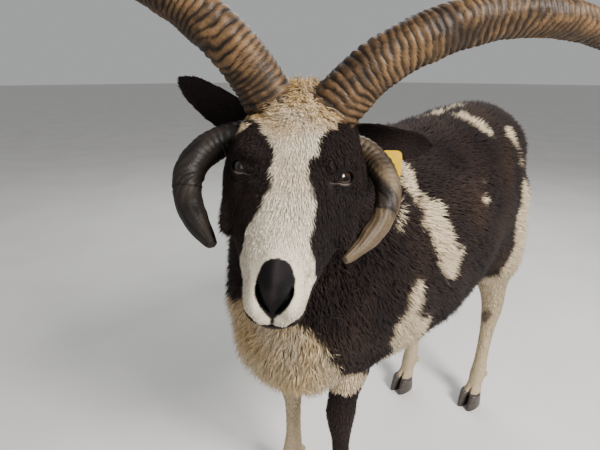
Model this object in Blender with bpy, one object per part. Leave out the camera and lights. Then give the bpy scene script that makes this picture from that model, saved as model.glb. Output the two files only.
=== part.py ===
"""A four-horned piebald ram, standing with its head turned to its left, life size.

Metres, +Z up. The ram faces -Y and its left side is +X. Every sub-part is one closed
solid: the body is modelled whole and parted with thin cuts, and horns, ears and eyes
sit in sockets of their own shape. The short fleece is a core with rounded clumps set
close on it, and the wool on the poll is a tuft of flat, tapered locks.
"""

import math
import random

import bmesh
import bpy
import numpy
from mathutils import Matrix, Vector

GAP = 0.0003            # what touching solids keep between them
SIDES = {"left": 1, "right": -1}
SEED = 41

# The fleece: rounded clumps on a core that lies this far under their tips.
CORE_INSET = 0.016
CLUMPS = 90
CLUMP_RADIUS = 0.0590
CLUMP_ROOT = 0.019      # how far a clump's root is sunk into the core
CLUMP_STRETCH = 1.12    # how much longer it is along the lie of the coat
CLUMP_LEAN = 0.16       # how far its top has slid down the lie, as a share of its radius
CLUMP_VARIES = 0.09     # how much its measures vary either way
CLUMP_SIDES = 6
# From root to brow: width as a share of the radius, height as a share of the rise.
CLUMP_SHAPE = ((1.0, -0.80), (0.62, 0.62))
CLUMP_ROOT_WIDTH = 0.55
SAMPLES = 5000          # places drawn on a surface, among which the clumps settle
SETTLING_ROUNDS = 12
# The wool lies down the neck and, from the first y to the second, turns back along the body.
LIE_TURNS = (-0.30, -0.15)
LIE_ON_NECK, LIE_ON_BODY = Vector((0.0, 0.25, -1.0)), Vector((0.0, 0.80, -0.65))

# How square a section is: 2 is an ellipse.
ROUND = 2.0
LIMB_SQUARENESS = 2.1

# Where the wool ends: above knees and hocks, and under the belly between the legs.
WOOL_BOTTOM = 0.372
BELLY_BOTTOM = 0.290
BETWEEN_LEGS = 0.030
FORELEG_SPAN = (-0.285, -0.185)
HINDLEG_START = 0.125
# It ends too where the face starts: forward of the first and above the second.
FACE_START = (-0.030, -0.165)

# The wool on the poll: locks that lie forward and outward from among the horns.
POLL_LOCKS = 16
POLL_AREA = (0.056, -0.020, 0.052)      # half width, and from where to where forward
POLL_SPREAD = 0.8       # how far the locks at its sides turn outwards
POLL_VARIES = 0.3       # and any lock from its neighbours
LOCK_LENGTH = 0.036
LOCK_LENGTH_VARIES = (0.80, 1.15)
LOCK_TIP_SHIFTS = 0.5   # how far a tip lies to one side, in widths
LOCK_WIDTH = 0.0190
LOCK_THICKNESS = 0.0080
LOCK_RISE = 0.0095
LOCK_ROOT = 0.0070
LOCK_SIDES = 5
# Along a lock: its share of the length, of the rise and of the width.
LOCK_SHAPE = ((0.05, 0.45, 0.9), (0.45, 0.85, 1.0), (0.84, 0.50, 0.72))
LOCK_TIP = (1.05, 0.05)

# The torso at the tips of the fleece, from rump to chest:
# y, top z, bottom z, half width.
TORSO = (
    (0.352, 0.615, 0.520, 0.024),
    (0.338, 0.658, 0.450, 0.058),
    (0.295, 0.700, 0.405, 0.090),
    (0.225, 0.729, 0.380, 0.115),
    (0.120, 0.724, 0.350, 0.142),
    (0.000, 0.704, 0.320, 0.160),
    (-0.120, 0.695, 0.300, 0.160),
    (-0.220, 0.694, 0.290, 0.148),
    (-0.300, 0.667, 0.294, 0.126),
    (-0.355, 0.600, 0.330, 0.098),
    (-0.386, 0.520, 0.400, 0.045),
)
TORSO_SQUARENESS = 2.25
TORSO_STEPS, TORSO_SIDES = 16, 14

# The neck at the tips of the fleece, from inside the shoulders to inside the skull:
# x, y, z, half width, depth towards the throat, depth towards the nape.
NECK = (
    (0.000, -0.165, 0.500, 0.114, 0.150, 0.150),
    (0.002, -0.212, 0.570, 0.119, 0.148, 0.130),
    (0.013, -0.252, 0.632, 0.112, 0.124, 0.100),
    (0.031, -0.288, 0.680, 0.084, 0.098, 0.070),
    (0.052, -0.318, 0.705, 0.060, 0.068, 0.044),
    (0.070, -0.336, 0.716, 0.030, 0.034, 0.022),
)
NECK_STEPS, NECK_SIDES = 9, 12

# The head: where the top of the poll is, and how the face is turned.
POLL = Vector((0.0845, -0.3548, 0.7710))
HEAD_YAW = 44.0         # to the ram's left, from straight ahead
HEAD_PITCH = 37.0       # the line of the face below the horizontal
HEAD_ROLL = 5.5         # the poll leans to the ram's left

# The head's own frame is (left, forward along the face, up off the brow), from the poll.
# Sections along the face: forward, top, widest level, bottom, half width.
HEAD = (
    (-0.040, -0.060, -0.080, -0.098, 0.026),
    (-0.026, -0.026, -0.080, -0.120, 0.052),
    (0.004, -0.005, -0.078, -0.133, 0.068),
    (0.040, 0.000, -0.078, -0.138, 0.077),
    (0.075, 0.001, -0.080, -0.138, 0.081),
    (0.100, -0.001, -0.082, -0.134, 0.0795),
    (0.125, -0.004, -0.084, -0.127, 0.072),
    (0.155, -0.009, -0.080, -0.117, 0.059),
    (0.185, -0.016, -0.074, -0.106, 0.047),
    (0.210, -0.024, -0.068, -0.100, 0.0390),
    (0.230, -0.031, -0.066, -0.097, 0.0340),
    (0.247, -0.041, -0.069, -0.092, 0.0260),
    (0.256, -0.055, -0.072, -0.086, 0.0140),
)
HEAD_SQUARENESS = 2.15
HEAD_STEPS, HEAD_SIDES = 20, 18

# Swellings of the left half of the face: centre and radii in the head's frame, then
# how many sides and bands of faces each takes.
FACE_FORMS = {
    "brow": ((0.0420, 0.0760, -0.0190), (0.0220, 0.0320, 0.0160), 12, 7),
    "cheek": ((0.0480, 0.0620, -0.0860), (0.0340, 0.0520, 0.0420), 12, 7),
    "upper_lip": ((0.0120, 0.2440, -0.0690), (0.0160, 0.0135, 0.0120), 10, 7),
    "nostril_wing": ((0.0165, 0.2440, -0.0530), (0.0105, 0.0150, 0.0140), 10, 7),
}
LOWER_LIP = ((0.0, 0.2390, -0.0870), (0.0215, 0.0160, 0.0100), 12, 7)

EYE = Vector((0.0461, 0.1075, -0.0306))
EYE_RADIUS = 0.0145
EYE_SIDES, EYE_BANDS = 12, 7
LID_SIDES, LID_BANDS = 12, 8
EYE_FACING = Vector((0.76, 0.34, 0.55))
EYE_SLIT = Vector((-0.45, 0.80, -0.35))     # the line from the back corner to the front one
LID_THICKNESS = 0.0034
LID_OPENING = (0.0125, 0.0078)              # half length and half height between the lids
LID_DEPTH = 0.8                             # how deep the opening goes, in eye radii

NOSTRIL = Vector((0.0175, 0.2545, -0.0565))
NOSTRIL_RADII = (0.0040, 0.0120, 0.0100)
NOSTRIL_AXES = ((0.90, 0.00, -0.44), (0.20, 0.90, -0.40), (0.44, 0.20, 0.90))
MOUTH_BACK, MOUTH_FRONT = (0.198, -0.0800), (0.264, -0.0790)    # forward, up
MOUTH_GAP = 0.0020
MOUTH_REACH = 0.060
PHILTRUM = (0.0, 0.2600, -0.0680)
PHILTRUM_RADII = (0.0014, 0.0060, 0.0115)
SLIT_SIDES, SLIT_BANDS = 8, 6

# An ear, from its root to its tip, in the head's frame: the left one lies level and the
# right one is raised. Then its width and cup at each step from root to tip.
EAR_ROUTES = {
    "left": ((0.050, -0.004, -0.084), (0.078, 0.003, -0.076),
             (0.112, 0.010, -0.070), (0.158, 0.012, -0.062)),
    "right": ((0.050, -0.004, -0.080), (0.078, 0.000, -0.066),
              (0.110, -0.004, -0.047), (0.150, -0.012, -0.022)),
}
EAR_WIDTHS = (0.014, 0.0185, 0.0220, 0.0230, 0.0215, 0.0165, 0.0065)
EAR_CUP = (0.95, 0.80, 0.62, 0.52, 0.45, 0.40, 0.35)
EAR_THICKNESS = 0.0036
EAR_POINTS = 5          # across the ear
EAR_OPENING = Vector((0.0, 0.76, 0.42))
EAR_SOCKET = 1.5        # the gap round an ear's root, in plain gaps

# The ear tag: a plate in the left ear's cup and a button behind the ear, on a stem through it.
TAG_STEP = 4            # the ear's step that carries it
TAG_SHARE = -0.62       # where on the ear's width, from -1 at its lower edge to 1
TAG_SIZE = (0.026, 0.0022, 0.034)
TAG_CORNERS = 5.0
TAG_TURN = 2.0          # how far the plate has turned on its stem
TAG_DROP = 0.0130       # from the stem to the middle of the plate
TAG_STEM = 0.0026
TAG_STEM_FRONT, TAG_STEM_BACK = 0.0058, 0.0030
TAG_BUTTON, TAG_BUTTON_THICKNESS = 0.0050, 0.0012
TAG_PLATE_SIDES, TAG_BUTTON_SIDES, TAG_STEM_SIDES = 16, 12, 8
TAG_SINK = 0.0005       # how far plate and button are sunk over the stem

# The foreleg and hind leg on the ram's left, from inside the body to the coronet:
# x, y, z, half width, half depth.
FORELEG = (
    (0.075, -0.215, 0.440, 0.036, 0.050),
    (0.070, -0.225, 0.380, 0.033, 0.045),
    (0.066, -0.235, 0.325, 0.028, 0.036),
    (0.063, -0.246, 0.280, 0.0230, 0.027),
    (0.062, -0.250, 0.248, 0.0240, 0.026),
    (0.062, -0.250, 0.222, 0.0205, 0.022),
    (0.062, -0.248, 0.185, 0.0155, 0.0170),
    (0.062, -0.247, 0.130, 0.0145, 0.0165),
    (0.062, -0.248, 0.096, 0.0170, 0.0190),
    (0.062, -0.251, 0.076, 0.0190, 0.0205),
    (0.062, -0.262, 0.054, 0.0175, 0.0180),
    (0.062, -0.271, 0.036, 0.0210, 0.0220),
)
HINDLEG = (
    (0.056, 0.205, 0.560, 0.046, 0.075),
    (0.062, 0.205, 0.480, 0.052, 0.092),
    (0.066, 0.218, 0.410, 0.048, 0.080),
    (0.068, 0.238, 0.350, 0.036, 0.054),
    (0.067, 0.259, 0.305, 0.0265, 0.037),
    (0.066, 0.272, 0.268, 0.0235, 0.031),
    (0.066, 0.272, 0.238, 0.0210, 0.0250),
    (0.066, 0.264, 0.190, 0.0160, 0.0190),
    (0.066, 0.256, 0.130, 0.0152, 0.0175),
    (0.066, 0.252, 0.096, 0.0175, 0.0195),
    (0.066, 0.249, 0.076, 0.0195, 0.0210),
    (0.066, 0.240, 0.054, 0.0175, 0.0185),
    (0.066, 0.232, 0.036, 0.0210, 0.0225),
)
LEG_STEPS, LEG_SIDES = 20, 10
# How far the right hind foot stands ahead of the left one, and out.
RIGHT_HIND_AHEAD = 0.075
RIGHT_HIND_OUT = 0.016
SWING_TOP, SWING_REACH = 0.52, 0.25     # where that leg starts to swing, and over what height

# A claw of a hoof, from its sole up: height, reach behind and ahead of its middle, half width.
CLAW = (
    (0.0000, 0.024, 0.030, 0.0106),
    (0.0120, 0.024, 0.028, 0.0108),
    (0.0357, 0.021, 0.017, 0.0100),
)
CLAW_SIDES = 10
CLAW_SQUARENESS = 2.3
HOOF_SPLAY = 0.0118     # from the middle of the foot to the middle of a claw
TOE_AHEAD = 0.010       # from the middle of the coronet to the middle of the hoof
# The two dewclaws at the back of each fetlock.
DEWCLAW_HEIGHT = 0.072
DEWCLAW_SPLAY = 0.010
DEWCLAW_BEHIND = 0.019
DEWCLAW_RADII = (0.0055, 0.0065, 0.0090)
DEWCLAW_SIDES, DEWCLAW_BANDS = 6, 4

# The woolly tail hangs close behind the rump, at the tips of its wool:
# x, y, z, half width, half depth.
TAIL = (
    (0.0, 0.318, 0.660, 0.024, 0.022),
    (0.0, 0.348, 0.646, 0.031, 0.025),
    (0.0, 0.368, 0.612, 0.036, 0.026),
    (0.0, 0.374, 0.565, 0.038, 0.026),
    (0.0, 0.373, 0.515, 0.036, 0.025),
    (0.0, 0.369, 0.468, 0.029, 0.021),
    (0.0, 0.365, 0.438, 0.014, 0.011),
)
TAIL_STEPS, TAIL_SIDES = 8, 8
TAIL_INSET = 0.006
TAIL_CLUMPS = 8
TAIL_CLUMP_RADIUS = 0.0330
TAIL_ROOM = 0.0012      # how far the socket stands off the tips of the tail's wool

# The upper horns, in the head's frame, as on the left. Each bends about one axis, by so
# many degrees in each tenth of a metre, and the right one less and over a shorter length.
UPPER_HORN_ROOT = Vector((0.0360, 0.0200, -0.0141))
UPPER_HORN_HEADING = Vector((0.486, -0.469, 0.738))
UPPER_HORN_AXIS = Vector((-0.064, 0.982, 0.179))
UPPER_HORN_BENDS = {1: (30.0, 24.6, 18.0, 20.3, 22.2), -1: (30.0, 22.0, 14.0, 10.0, 10.0)}
UPPER_HORN_LENGTH = {1: 0.56, -1: 0.50}
UPPER_HORN_RADIUS = 0.0268
UPPER_HORN_TIP = 0.004
UPPER_HORN_TAPER = (0.55, 0.15)
UPPER_HORN_RINGS = 19

# The lower horn on the left comes out under the upper one and curls to the cheek.
LOWER_HORN_ROUTE = (
    (0.0610, 0.0290, -0.0615), (0.0890, 0.0430, -0.0635), (0.1070, 0.0670, -0.0680),
    (0.1130, 0.0920, -0.0740), (0.1080, 0.1190, -0.0800), (0.0940, 0.1460, -0.0830),
    (0.0740, 0.1730, -0.0830),
)
LOWER_HORN_SPREAD = {1: 0.94, -1: 1.16}     # the right one stands out further
LOWER_HORN_CURL = {1: 0.009, -1: 0.0}       # and the left one's tip curls in further
LOWER_HORN_RADIUS = {1: 0.0175, -1: 0.0200}
LOWER_HORN_TIP = 0.0060
LOWER_HORN_TAPER = {1: (0.52, 0.10), -1: (0.35, 0.10)}
LOWER_HORN_RINGS = 12
HORN_SIDES = 8
HORN_FLATNESS = 0.92
HORN_SOCKET = 0.012     # how deep a horn sits in the head
RING_HEIGHT = 0.0013    # how far the horn's ridges stand out either way
RINGS_END = 0.85        # the share of a horn's length at which its ridges have faded

# Where the body is parted. The first two are in the head's frame, forward and up.
NAPE_CUT = ((-0.019, -0.072), (0.848, 0.530))
THROAT_CUT = ((0.030, -0.145), (-0.080, 0.997))
SHOULDER_CUT = (Vector((0.0, -0.170, 0.700)), Vector((0.0, -0.758, 0.652)))
STIFLE_CUT = (Vector((0.0, 0.100, 0.340)), Vector((0.0, 0.978, -0.210)))
HIP_CUT = 0.600
SHANK_CUT = 0.340
SHANK_START = 0.120
ELBOW_CUT = 0.276
ELBOW_START = -0.100
BEYOND = 1.5            # further than any piece of the ram reaches

COLOURS = {
    "coat_black": ((0.030, 0.024, 0.024), 0.9),
    "coat_cream": ((0.620, 0.530, 0.400), 0.9),
    "horn_brown": ((0.160, 0.110, 0.070), 0.5),
    "horn_black": ((0.040, 0.034, 0.030), 0.45),
    "eye_brown": ((0.060, 0.030, 0.012), 0.1),
    "hoof_grey": ((0.080, 0.065, 0.055), 0.5),
    "tag_yellow": ((0.800, 0.560, 0.020), 0.4),
}
# The start of a sub-part's name and its colour; any other is black.
NAMED_COLOURS = (
    ("horn_upper", "horn_brown"), ("horn_lower", "horn_black"), ("eye", "eye_brown"),
    ("hoof", "hoof_grey"), ("ear_tag", "tag_yellow"), ("foreleg_right", "coat_cream"),
    ("hindleg", "coat_cream"),
)


def smooth_rows(rows, count):
    """count rows on a smooth curve through the given ones."""
    found = []
    last = len(rows) - 1
    for i in range(count):
        at = i * last / (count - 1)
        k = min(int(at), last - 1)
        t = at - k
        near = [rows[max(0, min(last, k + j))] for j in (-1, 0, 1, 2)]
        found.append(tuple(
            0.5 * (2 * b + (c - a) * t + (2 * a - 5 * b + 4 * c - d) * t * t
                   + (3 * b - a - 3 * c + d) * t ** 3)
            for a, b, c, d in zip(*near)
        ))
    return found


def oval(half_width, above, below, squareness, sides):
    """A rounded section as (to the side, up) pairs, a half step off the axes."""
    points = []
    for i in range(sides):
        angle = 2 * math.pi * (i + 0.5) / sides
        c, s = math.cos(angle), math.sin(angle)
        across = half_width * math.copysign(abs(c) ** (2 / squareness), c)
        high = above if s > 0 else below
        points.append((across, high * math.copysign(abs(s) ** (2 / squareness), s)))
    return points


def mesh_object(name, points, faces):
    """A mesh object whose faces point out."""
    mesh = bpy.data.meshes.new(name)
    mesh.from_pydata([tuple(p) for p in points], [], faces)
    shape = bmesh.new()
    shape.from_mesh(mesh)
    bmesh.ops.recalc_face_normals(shape, faces=shape.faces)
    shape.to_mesh(mesh)
    shape.free()
    made = bpy.data.objects.new(name, mesh)
    bpy.context.scene.collection.objects.link(made)
    return made


def loft(name, rings, split=False, tip=None):
    """A closed solid through rings of equally many points, which may end in a tip.
    split halves the quads of both flat sides alike."""
    sides = len(rings[0])
    points = [point for ring in rings for point in ring]
    faces = []
    for k in range(len(rings) - 1):
        for i in range(sides):
            a, b = k * sides + i, k * sides + (i + 1) % sides
            corners = (a, b, b + sides, a + sides)
            if not split:
                faces.append(corners)
            elif i < sides // 2:
                faces += [corners[:3], (corners[0], corners[2], corners[3])]
            else:
                faces += [(corners[0], corners[1], corners[3]), corners[1:]]
    faces.append(tuple(reversed(range(sides))))
    last = len(points) - sides
    if tip is None:
        faces.append(tuple(range(last, len(points))))
    else:
        faces += [(last + i, last + (i + 1) % sides, len(points)) for i in range(sides)]
        points.append(tip)
    return mesh_object(name, points, faces)


def boolean(target, others, operation, solver="EXACT"):
    """Joins others to target, or cuts them from it, and removes them."""
    group = bpy.data.collections.new("pieces")
    bpy.context.scene.collection.children.link(group)
    for other in others:
        group.objects.link(other)
        bpy.context.scene.collection.objects.unlink(other)
    step = target.modifiers.new("join", "BOOLEAN")
    step.operation = operation
    step.solver = solver
    step.operand_type = "COLLECTION"
    step.collection = group
    graph = bpy.context.evaluated_depsgraph_get()
    made = bpy.data.meshes.new_from_object(target.evaluated_get(graph))
    target.modifiers.clear()
    target.data = made
    for other in others:
        bpy.data.objects.remove(other)
    bpy.data.collections.remove(group)
    return target


def duplicate(source, name):
    """A copy of an object with a mesh of its own."""
    made = bpy.data.objects.new(name, source.data.copy())
    bpy.context.scene.collection.objects.link(made)
    return made


def keep_largest(target):
    """Drops all but the biggest closed surface of a mesh."""
    shape = bmesh.new()
    shape.from_mesh(target.data)
    unseen = set(shape.faces)
    islands = []
    while unseen:
        island, front = set(), [unseen.pop()]
        while front:
            face = front.pop()
            island.add(face)
            for edge in face.edges:
                for other in edge.link_faces:
                    if other in unseen:
                        unseen.discard(other)
                        front.append(other)
        islands.append(island)
    islands.sort(key=lambda island: sum(face.calc_area() for face in island))
    spare = [face for island in islands[:-1] for face in island]
    bmesh.ops.delete(shape, geom=spare, context="FACES")
    shape.to_mesh(target.data)
    shape.free()
    return target


def block(name, low, high, turn=None):
    """A cuboid between two corners, with an optional turn about the origin."""
    corners = [Vector((x, y, z)) for x in (low[0], high[0])
               for y in (low[1], high[1]) for z in (low[2], high[2])]
    if turn:
        corners = [turn @ corner for corner in corners]
    faces = ((0, 1, 3, 2), (4, 6, 7, 5), (0, 4, 5, 1), (2, 3, 7, 6), (0, 2, 6, 4), (1, 5, 7, 3))
    return mesh_object(name, corners, faces)


def half_space(name, point, normal):
    """A big block on the side of a plane that normal points to."""
    turn = Vector(normal).normalized().to_track_quat("Z", "Y").to_matrix().to_4x4()
    turn.translation = point
    return block(name, (-BEYOND, -BEYOND, 0), (BEYOND, BEYOND, 2 * BEYOND), turn)


def ball(name, centre, radii, axes, across, bands):
    """An ellipsoid. axes are the directions of its three radii."""
    points, faces = [Vector((0, 0, -1))], []
    for j in range(1, bands):
        high = -math.cos(math.pi * j / bands)
        wide = math.sin(math.pi * j / bands)
        for i in range(across):
            angle = 2 * math.pi * (i + 0.5) / across
            points.append(Vector((wide * math.cos(angle), wide * math.sin(angle), high)))
    points.append(Vector((0, 0, 1)))
    last = len(points) - 1
    for i in range(across):
        following = (i + 1) % across
        faces.append((0, 1 + following, 1 + i))
        faces.append((last, last - across + i, last - across + following))
        for j in range(bands - 2):
            a, b = 1 + j * across + i, 1 + j * across + following
            faces.append((a, b, b + across, a + across))
    placed = []
    for point in points:
        offset = sum((axis * (p * r) for axis, p, r in zip(axes, point, radii)), Vector())
        placed.append(Vector(centre) + offset)
    return mesh_object(name, placed, faces)


def head_matrix():
    """The head's frame in the ram's: columns are left, forward and up, then the poll."""
    pitch = Matrix.Rotation(math.radians(HEAD_PITCH), 3, "X")
    yaw = Matrix.Rotation(math.radians(HEAD_YAW), 3, "Z")
    facing = yaw @ Vector((0, -1, 0))
    roll = Matrix.Rotation(math.radians(-HEAD_ROLL), 3, facing)
    turn = roll @ yaw @ pitch
    columns = [turn @ Vector(axis) for axis in ((1, 0, 0), (0, -1, 0), (0, 0, 1))]
    made = Matrix([[column[row] for column in columns] for row in range(3)]).to_4x4()
    made.translation = POLL
    return made


HEAD_FRAME = head_matrix()
HEAD_FRAME_BACK = HEAD_FRAME.inverted()


def in_head(point, side=1):
    """A point of the head's frame in the ram's frame. side is -1 for the right half."""
    return HEAD_FRAME @ Vector((side * point[0], point[1], point[2]))


def turned_with_head(direction, side=1):
    """A direction of the head's frame in the ram's frame."""
    flipped = Vector((side * direction[0], direction[1], direction[2]))
    return (HEAD_FRAME.to_3x3() @ flipped).normalized()


def head_axes(side=1, axes=((1, 0, 0), (0, 1, 0), (0, 0, 1))):
    """The directions of the head's frame, or others given in it, in the ram's frame."""
    return [turned_with_head(axis, side) for axis in axes]


def torso_core(inset):
    """The torso, its outline drawn in from the tips of the fleece by inset."""
    rings = []
    squeeze = 1 - inset / TORSO[0][0]
    for y, top, bottom, half_width in smooth_rows(TORSO, TORSO_STEPS):
        middle, half_height = (top + bottom) / 2, (top - bottom) / 2 - inset
        section = oval(half_width - inset, half_height, half_height, TORSO_SQUARENESS, TORSO_SIDES)
        rings.append([(x, y * squeeze, middle + z) for x, z in section])
    return loft("torso", rings)


def neck_core(inset):
    """The neck, bending from the shoulders round to the skull."""
    rows = smooth_rows(NECK, NECK_STEPS)
    spine = [Vector(row[:3]) for row in rows]
    last = len(rows) - 1
    rings = []
    for k, (x, y, z, half_width, throat, nape) in enumerate(rows):
        along = (spine[min(k + 1, last)] - spine[max(k - 1, 0)]).normalized()
        side = Vector((1, 0, 0)).lerp(HEAD_FRAME.col[0].to_3d(), k / last)
        side = (side - along * side.dot(along)).normalized()
        fore = side.cross(along)
        section = oval(half_width - inset, throat - inset, nape - inset, LIMB_SQUARENESS, NECK_SIDES)
        rings.append([spine[k] + side * a + fore * b for a, b in section])
    return loft("neck", rings)


def head_core():
    """The bare head from the nape to the lips."""
    rings = []
    for forward, top, middle, bottom, half_width in smooth_rows(HEAD, HEAD_STEPS):
        section = oval(half_width, top - middle, middle - bottom, HEAD_SQUARENESS, HEAD_SIDES)
        rings.append([in_head((a, forward, middle + b)) for a, b in section])
    return loft("head", rings)


def face_forms():
    """Brows, cheeks, lips and the wings of the nostrils."""
    made = []
    for name, (centre, radii, across, bands) in FACE_FORMS.items():
        for side in SIDES.values():
            made.append(ball(name, in_head(centre, side), radii, head_axes(side), across, bands))
    centre, radii, across, bands = LOWER_LIP
    made.append(ball("lower_lip", in_head(centre), radii, head_axes(), across, bands))
    return made


def hind_swing(side):
    """How far a hind foot stands ahead and out of its plain place."""
    return (0.0, 0.0) if side > 0 else (RIGHT_HIND_AHEAD, RIGHT_HIND_OUT)


def leg(name, rows, side, ahead, out):
    """A leg down to the coronet. Its foot may stand ahead of its root, and out."""
    rings = []
    for x, y, z, half_width, half_depth in smooth_rows(rows, LEG_STEPS):
        swing = max(0.0, min(1.0, (SWING_TOP - z) / SWING_REACH))
        centre = side * (x + out * swing)
        section = oval(half_width, half_depth, half_depth, LIMB_SQUARENESS, LEG_SIDES)
        rings.append([(centre + a, y - ahead * swing + b, z) for a, b in section])
    return loft(name, rings)


def dewclaws(rows, side, ahead, out):
    """The two small horny knobs behind a fetlock."""
    near = min(rows, key=lambda row: abs(row[2] - DEWCLAW_HEIGHT))
    axes = (Vector((1, 0, 0)), Vector((0, 1, 0)), Vector((0, 0, 1)))
    made = []
    for shift in (-DEWCLAW_SPLAY, DEWCLAW_SPLAY):
        centre = (side * (near[0] + out) + shift, near[1] - ahead + DEWCLAW_BEHIND, DEWCLAW_HEIGHT)
        made.append(ball("dewclaw", centre, DEWCLAW_RADII, axes, DEWCLAW_SIDES, DEWCLAW_BANDS))
    return made


def hoof_claws(name, x, y):
    """The two claws of a foot, each its own solid with a flat sole."""
    for label, shift in (("outer", HOOF_SPLAY), ("inner", -HOOF_SPLAY)):
        centre = x + math.copysign(1, x) * shift
        rings = []
        for z, behind, ahead, half in CLAW:
            section = oval(half, behind, ahead, CLAW_SQUARENESS, CLAW_SIDES)
            rings.append([(centre + a, y + b, z) for a, b in section])
        loft(f"hoof_{name}_{label}", rings)


def horn_section(at, heading, radius):
    """A ring of points round a horn, a little flatter than wide."""
    fore = Vector((0, 1, 0))
    fore = (fore - heading * fore.dot(heading)).normalized()
    across = heading.cross(fore)
    section = oval(radius, radius * HORN_FLATNESS, radius * HORN_FLATNESS, ROUND, HORN_SIDES)
    return [at + across * a + fore * b for a, b in section]


def upper_horn_path(count, side):
    """Places and headings along an upper horn, the first one at the bottom of its socket."""
    bends = smooth_rows([(bend,) for bend in UPPER_HORN_BENDS[side]], count)
    heading = UPPER_HORN_HEADING.normalized()
    axis = UPPER_HORN_AXIS.normalized()
    step = UPPER_HORN_LENGTH[side] / (count - 1)
    at = UPPER_HORN_ROOT.copy()
    found = [(at - heading * HORN_SOCKET, heading.copy(), 0.0)]
    for k, (bend,) in enumerate(bends):
        found.append((at.copy(), heading.copy(), k / (count - 1)))
        heading = Matrix.Rotation(math.radians(bend) * step / 0.1, 3, axis) @ heading
        at = at + heading * step
    return found


def lower_horn_path(count, side):
    """Places and headings along a lower horn, the first one at the bottom of its socket."""
    root = LOWER_HORN_ROUTE[0][0]
    spread = LOWER_HORN_SPREAD[side]
    places = []
    for k, (x, y, z) in enumerate(smooth_rows(LOWER_HORN_ROUTE, count)):
        curl = LOWER_HORN_CURL[side] * (k / (count - 1)) ** 2
        places.append(Vector((root + (x - root) * spread - curl, y, z)))
    headings = [(places[min(k + 1, count - 1)] - places[max(k - 1, 0)]).normalized()
                for k in range(count)]
    found = [(places[0] - headings[0] * HORN_SOCKET, headings[0], 0.0)]
    found += [(places[k], headings[k], k / (count - 1)) for k in range(count)]
    return found


def horn_solid(name, path, radius_at, side, swell):
    """A horn with ridges that fade towards its tip. swell makes it fatter, for its socket."""
    made = []
    for k, (at, heading, share) in enumerate(path):
        ridge = RING_HEIGHT * max(0.0, 1 - share / RINGS_END) * (1 if k % 2 else -1) if k else 0
        radius = radius_at(share) + ridge + swell
        if k == 0:
            at = at - heading * swell
        made.append([in_head(p, side) for p in horn_section(at, heading, radius)])
    return loft(name, made)


def upper_horn(name, side, swell=0.0):
    """An upper horn, which sweeps up, out and over."""
    power, slope = UPPER_HORN_TAPER

    def radius_at(share):
        return UPPER_HORN_RADIUS * (1 - share) ** power * (1 - slope * share) + UPPER_HORN_TIP
    return horn_solid(name, upper_horn_path(2 * UPPER_HORN_RINGS, side), radius_at, side, swell)


def lower_horn(name, side, swell=0.0):
    """A lower horn, which curls down and forward round the cheek."""
    power, slope = LOWER_HORN_TAPER[side]
    radius = LOWER_HORN_RADIUS[side]

    def radius_at(share):
        return radius * (1 - share) ** power * (1 - slope * share) + LOWER_HORN_TIP * share
    return horn_solid(name, lower_horn_path(2 * LOWER_HORN_RINGS, side), radius_at, side, swell)


def ear_steps(word):
    """The middle of the ear at each step, with its directions along, across and out of the cup."""
    count = len(EAR_WIDTHS)
    route = [Vector(row) for row in smooth_rows(EAR_ROUTES[word], count)]
    found = []
    for k in range(count):
        along = (route[min(k + 1, count - 1)] - route[max(k - 1, 0)]).normalized()
        opening = EAR_OPENING - along * EAR_OPENING.dot(along)
        opening.normalize()
        found.append((route[k], along, along.cross(opening), opening))
    return found


def ear_point(step, k, share, offset):
    """A point of the ear's section: share runs from -1 to 1 across it, offset is outwards."""
    at, along, across, opening = step
    curl = EAR_CUP[k] * math.pi
    radius = EAR_WIDTHS[k] / math.sin(min(curl / 2, math.pi / 2))
    angle = share * curl / 2
    reach = radius + offset
    return (at + across * (math.sin(angle) * reach)
            - opening * (math.cos(angle) * reach - radius * math.cos(curl / 2)))


def ear(name, word, swell=0.0):
    """An ear as a rolled leaf whose cup opens forwards. swell is for its socket."""
    rings = []
    for k, step in enumerate(ear_steps(word)):
        edge = 1 + swell / EAR_WIDTHS[k]
        thick = EAR_THICKNESS / 2 + swell
        shares = [edge * (2 * i / (EAR_POINTS - 1) - 1) for i in range(EAR_POINTS)]
        section = [ear_point(step, k, share, thick) for share in shares]
        section += [ear_point(step, k, share, -thick) for share in reversed(shares)]
        back = step[1] * (swell if k == 0 else 0.0)
        rings.append([in_head(p - back, SIDES[word]) for p in section])
    return loft(name, rings, split=True)


def tag_frame():
    """Where the tag's stem crosses the ear, and its directions out of the back of the ear,
    along the ear and up the plate."""
    at, along, across, opening = ear_steps("left")[TAG_STEP]
    place = ear_point((at, along, across, opening), TAG_STEP, TAG_SHARE, 0.0)
    angle = TAG_SHARE * EAR_CUP[TAG_STEP] * math.pi / 2
    out = across * math.sin(angle) - opening * math.cos(angle)
    turn = math.radians(TAG_TURN)
    up = across * math.cos(angle) + opening * math.sin(angle)
    wide = along * math.cos(turn) + up * math.sin(turn)
    high = up * math.cos(turn) - along * math.sin(turn)
    return place, out, wide, high


def tag_disc(name, centre, low, high, half_width, half_height, squareness, sides):
    """A flat piece of the tag between two distances out of the back of the ear."""
    place, out, wide, tall = tag_frame()
    section = oval(half_width, half_height, half_height, squareness, sides)
    return loft(name, [
        [in_head(place + tall * centre + out * reach + wide * a + tall * b) for a, b in section]
        for reach in (low, high)])


def tag_stem(name, swell=0.0):
    """The stem of the tag, through the ear."""
    radius = TAG_STEM + swell
    return tag_disc(name, 0.0, -TAG_STEM_FRONT, TAG_STEM_BACK, radius, radius, ROUND, TAG_STEM_SIDES)


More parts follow.
